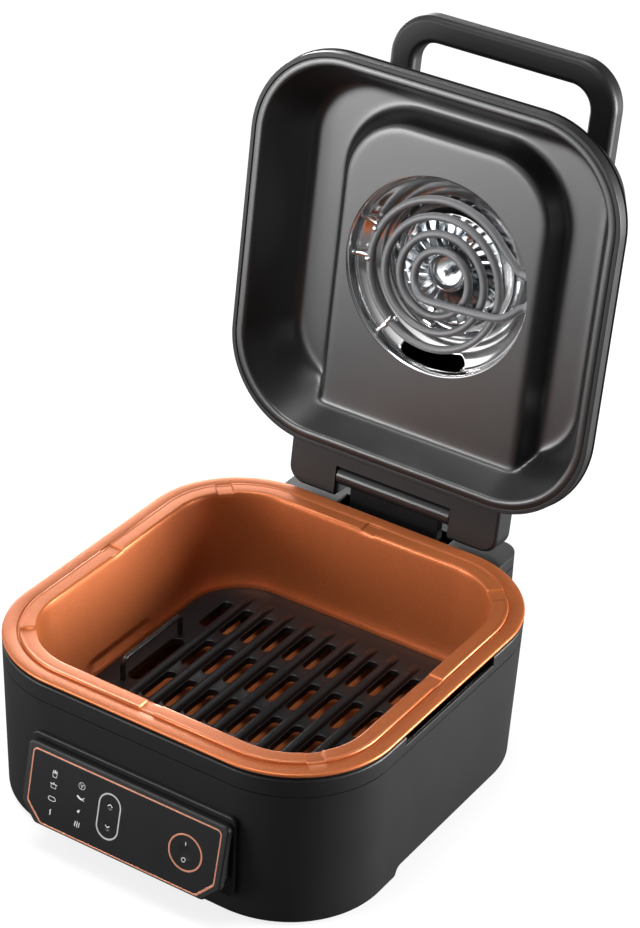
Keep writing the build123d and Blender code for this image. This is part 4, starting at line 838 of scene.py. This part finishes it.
class GRILL_OT_grill_plate(bpy.types.Operator):
    """Casts the slotted plate with its ribs"""

    bl_idname = "grill.grill_plate"
    bl_label = "Grill plate"

    def execute(self, context):
        sizes = context.scene.grill_sizes
        bm = bmesh.new()
        corner_flats = (PLATE_HALF[0] - PLATE_CORNER, PLATE_HALF[1] - PLATE_CORNER)
        edges = stadium_loop(bm, PLATE_CORNER, *corner_flats, 64, (0.0, 0.0))
        for middle in slot_middles():
            edges += stadium_loop(bm, SLOT_RADIUS, 0.0, SLOT_FLAT, 20, middle)
        for side in (-1, 1):
            edges += stadium_loop(bm, FINGER_RADIUS, 0.0, FINGER_FLAT, 24, (side * FINGER_X, 0.0))
        top = bmesh.ops.triangle_fill(bm, edges=edges, use_beauty=True, use_dissolve=False)["geom"]
        faces = [item for item in top if isinstance(item, bmesh.types.BMFace)]
        under = bmesh.ops.extrude_face_region(bm, geom=faces, use_keep_orig=True)["geom"]
        low = [item for item in under if isinstance(item, bmesh.types.BMVert)]
        bmesh.ops.translate(bm, verts=low, vec=(0, 0, -sizes.plate_thickness / MM))
        bmesh.ops.recalc_face_normals(bm, faces=bm.faces)
        rim = [
            edge for edge in bm.edges
            if min(vert.co.z for vert in edge.verts) > -SLACK and edge.calc_face_angle(0.0) > 1.0
        ]
        bmesh.ops.bevel(
            bm, geom=rim, affect="EDGES", offset=PLATE_ROUND, segments=3, profile=0.5, material=-1,
            clamp_overlap=True,
        )
        self.add_ribs(bm, sizes.rib_height / MM)
        bmesh.ops.translate(bm, verts=bm.verts, vec=(0, 0, PLATE_TOP))
        bmesh.ops.scale(bm, verts=bm.verts, vec=(MM, MM, MM))
        plate = new_piece("grill_casting", bm, "cast_plate", "grill", 50.0)
        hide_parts("grill_plate", "grill_plate_left", "grill_plate_right")
        return {"FINISHED"}

    def add_ribs(self, bm, height):
        """Ribs with rounded tops that run out into the plate at the rear."""
        front_run, rear_run = RIB_RUNS
        for column in range(RIB_COUNT):
            x = (column - (RIB_COUNT - 1) / 2) * SLOT_PITCH_X
            made = bmesh.ops.create_cube(bm, size=2.0)["verts"]
            bmesh.ops.scale(bm, verts=made, vec=(RIB_HALF, RIB_REACH, (height + RIB_ROOT) / 2))
            bmesh.ops.translate(bm, verts=made, vec=(x, 0, (height - RIB_ROOT) / 2))
            for vert in made:
                if vert.co.z > 0:
                    vert.co.x = x + (vert.co.x - x) * RIB_SLIMMING
                    vert.co.y += front_run if vert.co.y < 0 else -rear_run
            edges = {edge for vert in made for edge in vert.link_edges}
            raised = [edge for edge in edges if max(vert.co.z for vert in edge.verts) > 0]
            bmesh.ops.bevel(
                bm, geom=raised, affect="EDGES", offset=RIB_ROUND, segments=3, profile=0.5, material=-1
            )


def pot_wall_ring(grow, rise):
    """Ring of the pot's tapered wall at a rise over its floor."""
    share = rise / (POT_MOUTH[3] - POT_FLOOR[3])
    sizes = [low + share * (high - low) + grow for low, high in zip(POT_FLOOR[:3], POT_MOUTH[:3])]
    return (*sizes, POT_FLOOR[3] + rise)


def pot_round_rings(grow, radius, steps=7):
    """Rings of the round between the pot's wall and its floor, from the wall inwards."""
    turns = [math.pi / 2 * step / steps for step in range(1, steps + 1)]
    edge = [(radius * (1 - math.cos(turn)), radius * (1 - math.sin(turn))) for turn in turns]
    return inset_rings(pot_wall_ring(grow, 0.0)[:3], POT_FLOOR[3] - grow, edge)


class GRILL_OT_pot(bpy.types.Operator):
    """Presses the pot with its flange, its notched ridge and its rounded floor"""

    bl_idname = "grill.pot"
    bl_label = "Pot"

    def execute(self, context):
        bm = ringed_mesh(self.rings(), 128)
        self.press_notches(bm)
        bmesh.ops.scale(bm, verts=bm.verts, vec=(MM, MM, MM))
        pot = new_piece("pressed_pot", bm, "copper_nonstick", "pot", 50.0)
        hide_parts("cooking_pot")
        return {"FINISHED"}

    def rings(self):
        """From the middle of the underside, up and over the flange, and down to the inner floor."""
        top = POT_FLANGE[3]
        rings = pot_round_rings(POT_WALL, POT_FLOOR_ROUND + POT_WALL)[::-1]
        rings += [pot_wall_ring(POT_WALL, rise) for rise in POT_OUTSIDE]
        rings += inset_rings(POT_FLANGE[:3], top, FLANGE_EDGE)
        rings += inset_rings(POT_RIDGE, top, RIDGE_EDGE)
        rings += inset_rings(POT_MOUTH[:3], top, MOUTH_EDGE)
        rings += [pot_wall_ring(-inset, rise) for inset, rise in POT_INSIDE]
        return rings + pot_round_rings(0.0, POT_FLOOR_ROUND)

    def press_notches(self, bm):
        """Eight gaps in the ridge: in the middle of each side and at each corner."""
        floor = POT_FLANGE[3]
        for eighth in range(4):
            turn = math.radians(45.0 * eighth)
            across = Vector((-math.sin(turn), math.cos(turn), 0.0))
            for shift in (-NOTCH_HALF - NOTCH_SLOPE, -NOTCH_HALF, NOTCH_HALF, NOTCH_HALF + NOTCH_SLOPE):
                bmesh.ops.bisect_plane(
                    bm, geom=bm.verts[:] + bm.edges[:] + bm.faces[:], dist=0.0001, plane_co=across * shift,
                    plane_no=across,
                )
            for vert in bm.verts:
                near = abs(vert.co.dot(across)) < NOTCH_HALF + SLACK
                if near and vert.co.z > floor + SLACK:
                    vert.co.z = max(vert.co.z - NOTCH_DROP, floor - NOTCH_FLOOR)


class GRILL_OT_inner_pan(bpy.types.Operator):
    """Draws the lid's inner pan: trough, raised platform and the opening for the fan"""

    bl_idname = "grill.inner_pan"
    bl_label = "Inner pan"

    def execute(self, context):
        hollow = holder_of("hollow", ringed_mesh(self.hollow_rings()))
        block = holder_of("block", self.platform_block())
        opening = holder_of("opening", self.opening_block())
        take = hollow.modifiers.new("Platform", "BOOLEAN")
        take.operation = "DIFFERENCE"
        take.object = block
        grid = hollow.modifiers.new("Grid", "REMESH")
        grid.mode = "VOXEL"
        grid.voxel_size = PAN_VOXEL
        soften = hollow.modifiers.new("Drawn edges", "SMOOTH")
        soften.factor = 0.5
        soften.iterations = PAN_SMOOTHINGS
        add = hollow.modifiers.new("Opening", "BOOLEAN")
        add.operation = "UNION"
        add.object = opening
        context.view_layer.update()
        mesh = bpy.data.meshes.new_from_object(hollow.evaluated_get(context.evaluated_depsgraph_get()))
        bm = bmesh.new()
        bm.from_mesh(mesh)
        bpy.data.meshes.remove(mesh)
        for holder in (hollow, block, opening):
            drop_holder(holder)
        self.open_up(bm)
        self.add_lip(bm)
        bmesh.ops.transform(bm, matrix=lid_matrix(), verts=bm.verts)
        pan = new_piece("drawn_pan", bm, "black_nonstick", "lid", 50.0)
        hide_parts("lid_liner")
        return {"FINISHED"}

    def hollow_rings(self):
        """Tapered walls from above the mouth to the trough's rounded floor."""
        mouth_half, mouth_corner = PAN_MOUTH
        floor_half, floor_corner, floor_depth = PAN_FLOOR
        stations = ((PAN_START, 0.0), (floor_depth - PAN_FLOOR_RISE, 0.0), (floor_depth, PAN_FLOOR_INSET))
        rings = []
        for level, inset in stations:
            share = level / floor_depth
            half = mouth_half + share * (floor_half - mouth_half) - inset
            corner = mouth_corner + share * (floor_corner - mouth_corner) - inset
            rings.append((half, half, corner, level))
        return rings

    def platform_block(self):
        """The raised platform, which runs out through the rear wall."""
        half_y = (PLATFORM_REAR + PLATFORM_FRONT) / 2
        sizes = (PLATFORM_HALF, half_y, PLATFORM_CORNER)
        rings = inset_rings(sizes, PLATFORM_DEPTH, [(0.0, 0.0)])
        rings += inset_rings(sizes, PAN_FLOOR[2] + PLATFORM_PAST, [(-PLATFORM_SPREAD, 0.0)])
        return ringed_mesh(rings, 96, (0.0, (PLATFORM_REAR - PLATFORM_FRONT) / 2))

    def opening_block(self):
        """The round opening for the dish, through the platform."""
        edge = [(0.0, rise) for rise in OPENING_ENDS]
        return ringed_mesh(inset_rings([OPENING_RADIUS] * 3, PLATFORM_DEPTH, edge), 160, (0.0, FAN_Y))

    def open_up(self, bm):
        """Takes the lids off the mouth and off the opening, and turns the skin to the inside."""
        bmesh.ops.bisect_plane(
            bm, geom=bm.verts[:] + bm.edges[:] + bm.faces[:], dist=0.0001, plane_co=(0, 0, PAN_CUT),
            plane_no=(0, 0, -1), clear_outer=True,
        )
        end = PLATFORM_DEPTH + OPENING_ENDS[1] - SLACK
        gone = []
        for face in bm.faces:
            middle = face.calc_center_median()
            if middle.z > end and math.hypot(middle.x, middle.y - FAN_Y) < OPENING_RADIUS - SLACK:
                gone.append(face)
        bmesh.ops.delete(bm, geom=gone, context="FACES")
        bmesh.ops.reverse_faces(bm, faces=bm.faces)

    def add_lip(self, bm):
        """The flat lip and the round into the mouth."""
        lip_half, lip_corner = PAN_LIP
        mouth_half, mouth_corner = PAN_MOUTH
        stations = inset_rings((lip_half, lip_half, lip_corner), 0.0, LIP_EDGE)
        (half_taper, corner_taper), levels = MOUTH_TAPER
        for level in levels:
            half = mouth_half - half_taper * level
            stations.append((half, half, mouth_corner - corner_taper * level, level))
        loops = [rounded_ring(bm, *station, 128, (0.0, 0.0)) for station in stations]
        made = []
        for near, far in zip(loops, loops[1:]):
            made += bmesh.ops.bridge_loops(bm, edges=near + far)["faces"]
        bmesh.ops.recalc_face_normals(bm, faces=made)
        if sum(face.normal.z for face in made) > 0:
            bmesh.ops.reverse_faces(bm, faces=made)


class GRILL_OT_reflector(bpy.types.Operator):
    """Spins the polished dish, with its slot at the hinge side"""

    bl_idname = "grill.reflector"
    bl_label = "Reflector"

    def execute(self, context):
        bm = spun_mesh(DISH_PROFILE, DISH_STEPS)
        near, far = DISH_SLOT
        inner, outer = DISH_SLOT_MIDDLE
        gone = []
        for face in bm.faces:
            middle = face.calc_center_median()
            radius = middle.xy.length
            turn = abs(math.degrees(math.atan2(middle.x, middle.y)))
            reach = SLOT_HALF_TURN if inner < radius < outer else SLOT_HALF_TURN - SLOT_CORNER_TURN
            if near < radius < far and turn < reach:
                gone.append(face)
        bmesh.ops.delete(bm, geom=gone, context="FACES")
        slot_edge = [
            vert for vert in bm.verts if vert.is_boundary and near - 1.0 < vert.co.xy.length < far + 1.0
        ]
        for _ in range(SLOT_SMOOTHINGS):
            bmesh.ops.smooth_vert(
                bm, verts=slot_edge, factor=0.5, use_axis_x=True, use_axis_y=True, use_axis_z=True
            )
        bmesh.ops.recalc_face_normals(bm, faces=bm.faces)
        bmesh.ops.translate(bm, verts=bm.verts, vec=(0.0, FAN_Y, 0.0))
        bmesh.ops.transform(bm, matrix=lid_matrix(), verts=bm.verts)
        dish = new_piece("mirror_dish", bm, "polished_steel", "lid", 50.0)
        wall = dish.modifiers.new("Sheet", "SOLIDIFY")
        wall.thickness = SHEET * MM
        wall.offset = -1.0
        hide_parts("reflector_dish")
        return {"FINISHED"}


class GRILL_OT_element(bpy.types.Operator):
    """Bends the sheathed heating element and the clips that hold it"""

    bl_idname = "grill.element"
    bl_label = "Heating element"

    def execute(self, context):
        points = list(OUTER_LEAD)
        end_x = SPIRAL_END
        side = 1
        for index, radius in enumerate(SPIRAL_RADII):
            middle_x = end_x - side * radius
            for step in range(2 if index == 0 else 0, SPIRAL_STEPS):
                turn = math.pi * (step + 0.5) / SPIRAL_STEPS
                x = middle_x + side * radius * math.cos(turn)
                points.append((x, SPIRAL_Y - side * radius * math.sin(turn), SPIRAL_DEPTH))
            end_x -= side * 2 * radius
            side = -side
        points += [(end_x, INNER_TURN_Y, SPIRAL_DEPTH), *INNER_LEAD]
        mesh = tube_mesh(points, context.scene.grill_sizes.sheath_radius / MM, False, True, 6, 6)
        bm = bmesh.new()
        bm.from_mesh(mesh)
        bpy.data.meshes.remove(mesh)
        bmesh.ops.transform(bm, matrix=lid_matrix(), verts=bm.verts)
        rod = new_piece("element_sheath", bm, "grey_element", "lid")
        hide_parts("heating_element")
        self.make_clips()
        return {"FINISHED"}

    def make_clips(self):
        """Straps from the dish wall that curl round the outer turn."""
        bm = bmesh.new()
        path = list(CLIP_PATH)
        for step in range(CURL_STEPS):
            turn = math.radians(CURL_START + CURL_STEP * step)
            x = CURL_MIDDLE + CURL_RADIUS * math.cos(turn)
            path.append((x, SPIRAL_DEPTH + CURL_RADIUS * math.sin(turn)))
        for angle in CLIP_TURNS:
            verts = [bm.verts.new((x, -CLIP_WIDTH / 2, level)) for x, level in path]
            edges = [bm.edges.new(pair) for pair in zip(verts, verts[1:])]
            grown = bmesh.ops.extrude_edge_only(bm, edges=edges)["geom"]
            far = [item for item in grown if isinstance(item, bmesh.types.BMVert)]
            bmesh.ops.translate(bm, verts=far, vec=(0, CLIP_WIDTH, 0))
            place = Matrix.Translation((0.0, FAN_Y, 0.0)) @ Matrix.Rotation(math.radians(angle), 4, "Z")
            bmesh.ops.transform(bm, matrix=place, verts=verts + far)
        bmesh.ops.transform(bm, matrix=lid_matrix(), verts=bm.verts)
        clips = new_piece("strap_clips", bm, "polished_steel", "lid", 60.0)
        sheet = clips.modifiers.new("Sheet", "SOLIDIFY")
        sheet.thickness = SHEET * MM
        sheet.offset = 0.0
        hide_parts("element_clips")


class GRILL_OT_fan(bpy.types.Operator):
    """Spins the dished hub and bends the fan's blades"""

    bl_idname = "grill.fan"
    bl_label = "Fan"

    def execute(self, context):
        count = context.scene.grill_sizes.blade_count
        bm = spun_mesh(HUB_PROFILE, HUB_STEPS)
        hub = set(bm.faces)
        blade = bmesh.ops.create_grid(bm, x_segments=5, y_segments=3, size=1.0)["verts"]
        for vert in blade:
            along = (vert.co.x + 1) / 2
            high = (vert.co.y + 1) / 2
            radius = BLADE_INNER + along * (BLADE_OUTER - BLADE_INNER)
            turn = math.radians(BLADE_SWEEP * along ** BLADE_CURVE + BLADE_LEAN * high)
            level = BLADE_FAR + high * (BLADE_NEAR + BLADE_RAKE * along - BLADE_FAR)
            vert.co = (radius * math.cos(turn), radius * math.sin(turn), level)
        bmesh.ops.solidify(bm, geom=[face for face in bm.faces if face not in hub], thickness=BLADE_THICK)
        faces = [face for face in bm.faces if face not in hub]
        edges = {edge for face in faces for edge in face.edges}
        verts = {vert for face in faces for vert in face.verts}
        bmesh.ops.spin(
            bm, geom=[*verts, *edges, *faces], cent=(0, 0, 0), axis=(0, 0, 1),
            angle=2 * math.pi * (1 - 1 / count), steps=count - 1, use_duplicate=True,
        )
        bmesh.ops.recalc_face_normals(bm, faces=bm.faces)
        bmesh.ops.translate(bm, verts=bm.verts, vec=(0.0, FAN_Y, 0.0))
        bmesh.ops.transform(bm, matrix=lid_matrix(), verts=bm.verts)
        wheel = new_piece("blade_wheel", bm, "fan_steel", "fan", 40.0)
        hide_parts("fan_impeller")
        return {"FINISHED"}


class GRILL_OT_stage(bpy.types.Operator):
    """Sets the floor, the lamps, the world and the camera"""

    bl_idname = "grill.stage"
    bl_label = "Stage"

    def execute(self, context):
        settings = context.scene.grill_stage
        make_floor(settings.floor_size)
        make_world()
        for name, power, place, target, size in LAMPS:
            add_lamp(name, place, target, size, getattr(settings, power))
        make_camera()
        context.scene.view_settings.view_transform = "Standard"
        return {"FINISHED"}


def make_floor(size):
    """Pale floor that shows white to the camera and keeps the shadow."""
    bm = bmesh.new()
    bmesh.ops.create_grid(bm, x_segments=1, y_segments=1, size=size / 2)
    bmesh.ops.translate(bm, verts=bm.verts, vec=(0, 0, -FLOOR_SINK))
    mesh = bpy.data.meshes.new("floor")
    bm.to_mesh(mesh)
    bm.free()
    floor = bpy.data.objects.new("floor", mesh)
    bpy.context.scene.collection.objects.link(floor)
    material = bpy.data.materials.new("floor_white")
    material.use_nodes = True
    tree = material.node_tree
    shader = tree.nodes["Principled BSDF"]
    shader.inputs["Roughness"].default_value = 0.9
    shader.inputs["Specular IOR Level"].default_value = 0.1
    place = tree.nodes.new("ShaderNodeTexCoord").outputs["Object"]
    camera_ray = tree.nodes.new("ShaderNodeLightPath").outputs["Is Camera Ray"]
    other_ray = math_node(tree, "SUBTRACT", 1.0, camera_ray)
    side = vector_node(tree, "DOT_PRODUCT", place, 1, CARD_SIDE).outputs["Value"]
    near, far, card_glow = FLOOR_CARD
    card = map_range(tree, side, 0.0, card_glow, near, far)
    white_glow = math_node(tree, "MULTIPLY", camera_ray, FLOOR_WHITE)
    strength = math_node(tree, "ADD", white_glow, math_node(tree, "MULTIPLY", card, other_ray))
    glow = tree.nodes.new("ShaderNodeEmission")
    tree.links.new(strength, glow.inputs["Strength"])
    distance = vector_node(tree, "LENGTH", place).outputs["Value"]
    fade = map_range(tree, distance, FLOOR_GLOW, 1.0, *SHADOW_REACH)
    white = math_node(tree, "MULTIPLY", camera_ray, fade)
    share = math_node(tree, "MAXIMUM", white, math_node(tree, "MULTIPLY", other_ray, CARD_SHARE))
    mix = tree.nodes.new("ShaderNodeMixShader")
    tree.links.new(share, mix.inputs["Fac"])
    tone = mix_colours(tree, camera_ray, [FLOOR_BOUNCE] * 3, [FLOOR_PALE] * 3)
    tree.links.new(tone, shader.inputs["Base Color"])
    tree.links.new(shader.outputs["BSDF"], mix.inputs[1])
    tree.links.new(glow.outputs["Emission"], mix.inputs[2])
    tree.links.new(mix.outputs["Shader"], tree.nodes["Material Output"].inputs["Surface"])
    mesh.materials.append(material)


def make_world():
    """White to the camera, and a soft light that is brighter on the left of the photograph."""
    world = bpy.data.worlds.new("studio")
    bpy.context.scene.world = world
    world.use_nodes = True
    tree = world.node_tree
    background = tree.nodes["Background"]
    place = tree.nodes.new("ShaderNodeTexCoord").outputs["Generated"]
    side = vector_node(tree, "DOT_PRODUCT", place, 1, BRIGHT_SIDE).outputs["Value"]
    share = math_node(tree, "ADD", math_node(tree, "MULTIPLY", side, 0.5), 0.5)
    glow = map_range(tree, math_node(tree, "POWER", share, WORLD_FALL), WORLD_DARK, WORLD_LIGHT)
    camera_ray = tree.nodes.new("ShaderNodeLightPath").outputs["Is Camera Ray"]
    strength = math_node(tree, "MAXIMUM", camera_ray, glow)
    background.inputs["Color"].default_value = (1.0, 1.0, 1.0, 1.0)
    tree.links.new(strength, background.inputs["Strength"])


def add_lamp(name, place, target, size, power):
    """A square area lamp that faces a target."""
    data = bpy.data.lights.new(name, "AREA")
    data.shape = "SQUARE"
    data.size = size
    data.energy = power
    lamp = bpy.data.objects.new(name, data)
    bpy.context.scene.collection.objects.link(lamp)
    direction = Vector(target) - Vector(place)
    lamp.rotation_euler = direction.to_track_quat("-Z", "Y").to_euler()
    lamp.location = place


def make_camera():
    """Camera at the photograph's place, turn, rise and roll."""
    data = bpy.data.cameras.new("camera")
    data.lens = CAMERA_LENS
    data.sensor_width = 36.0
    camera = bpy.data.objects.new("camera", data)
    bpy.context.scene.collection.objects.link(camera)
    turn = math.radians(CAMERA_TURN)
    rise = math.radians(CAMERA_RISE)
    roll = math.radians(CAMERA_ROLL)
    back = Vector((math.sin(turn) * math.cos(rise), -math.cos(turn) * math.cos(rise), math.sin(rise)))
    right = Vector((0, 0, 1)).cross(back).normalized()
    up = back.cross(right)
    rolled_right = right * math.cos(roll) + up * math.sin(roll)
    rolled_up = up * math.cos(roll) - right * math.sin(roll)
    rotation = Matrix((rolled_right, rolled_up, back)).transposed()
    camera.matrix_world = Matrix.Translation(CAMERA_PLACE) @ rotation.to_4x4()
    bpy.context.scene.camera = camera


class GRILL_PT_panel(bpy.types.Panel):
    """Lists the operators and the settings"""

    bl_idname = "GRILL_PT_panel"
    bl_label = "Air fryer grill"
    bl_space_type = "VIEW_3D"
    bl_region_type = "UI"
    bl_category = "Grill"

    def draw(self, context):
        for operator in OPERATORS:
            self.layout.operator(operator.bl_idname)
        scene = context.scene
        for group in (scene.grill_sizes, scene.grill_colours, scene.grill_stage):
            for label in group.bl_rna.properties.keys():
                if label not in ("rna_type", "name"):
                    self.layout.prop(group, label)


OPERATORS = (
    GRILL_OT_finishes, GRILL_OT_panel_signs, GRILL_OT_grill_plate, GRILL_OT_pot, GRILL_OT_inner_pan,
    GRILL_OT_reflector, GRILL_OT_element, GRILL_OT_fan, GRILL_OT_stage,
)
CLASSES = (GrillSizes, GrillColours, GrillStage, *OPERATORS, GRILL_PT_panel)


def register():
    """Adds the classes and the settings."""
    for cls in CLASSES:
        bpy.utils.register_class(cls)
    bpy.types.Scene.grill_sizes = bpy.props.PointerProperty(type=GrillSizes)
    bpy.types.Scene.grill_colours = bpy.props.PointerProperty(type=GrillColours)
    bpy.types.Scene.grill_stage = bpy.props.PointerProperty(type=GrillStage)


def unregister():
    """Removes them again."""
    del bpy.types.Scene.grill_sizes
    del bpy.types.Scene.grill_colours
    del bpy.types.Scene.grill_stage
    for cls in reversed(CLASSES):
        bpy.utils.unregister_class(cls)


def main():
    """Builds everything in order."""
    register()
    for operator in OPERATORS:
        group, _, name = operator.bl_idname.partition(".")
        getattr(getattr(bpy.ops, group), name)()


if __name__ == "__main__":
    main()
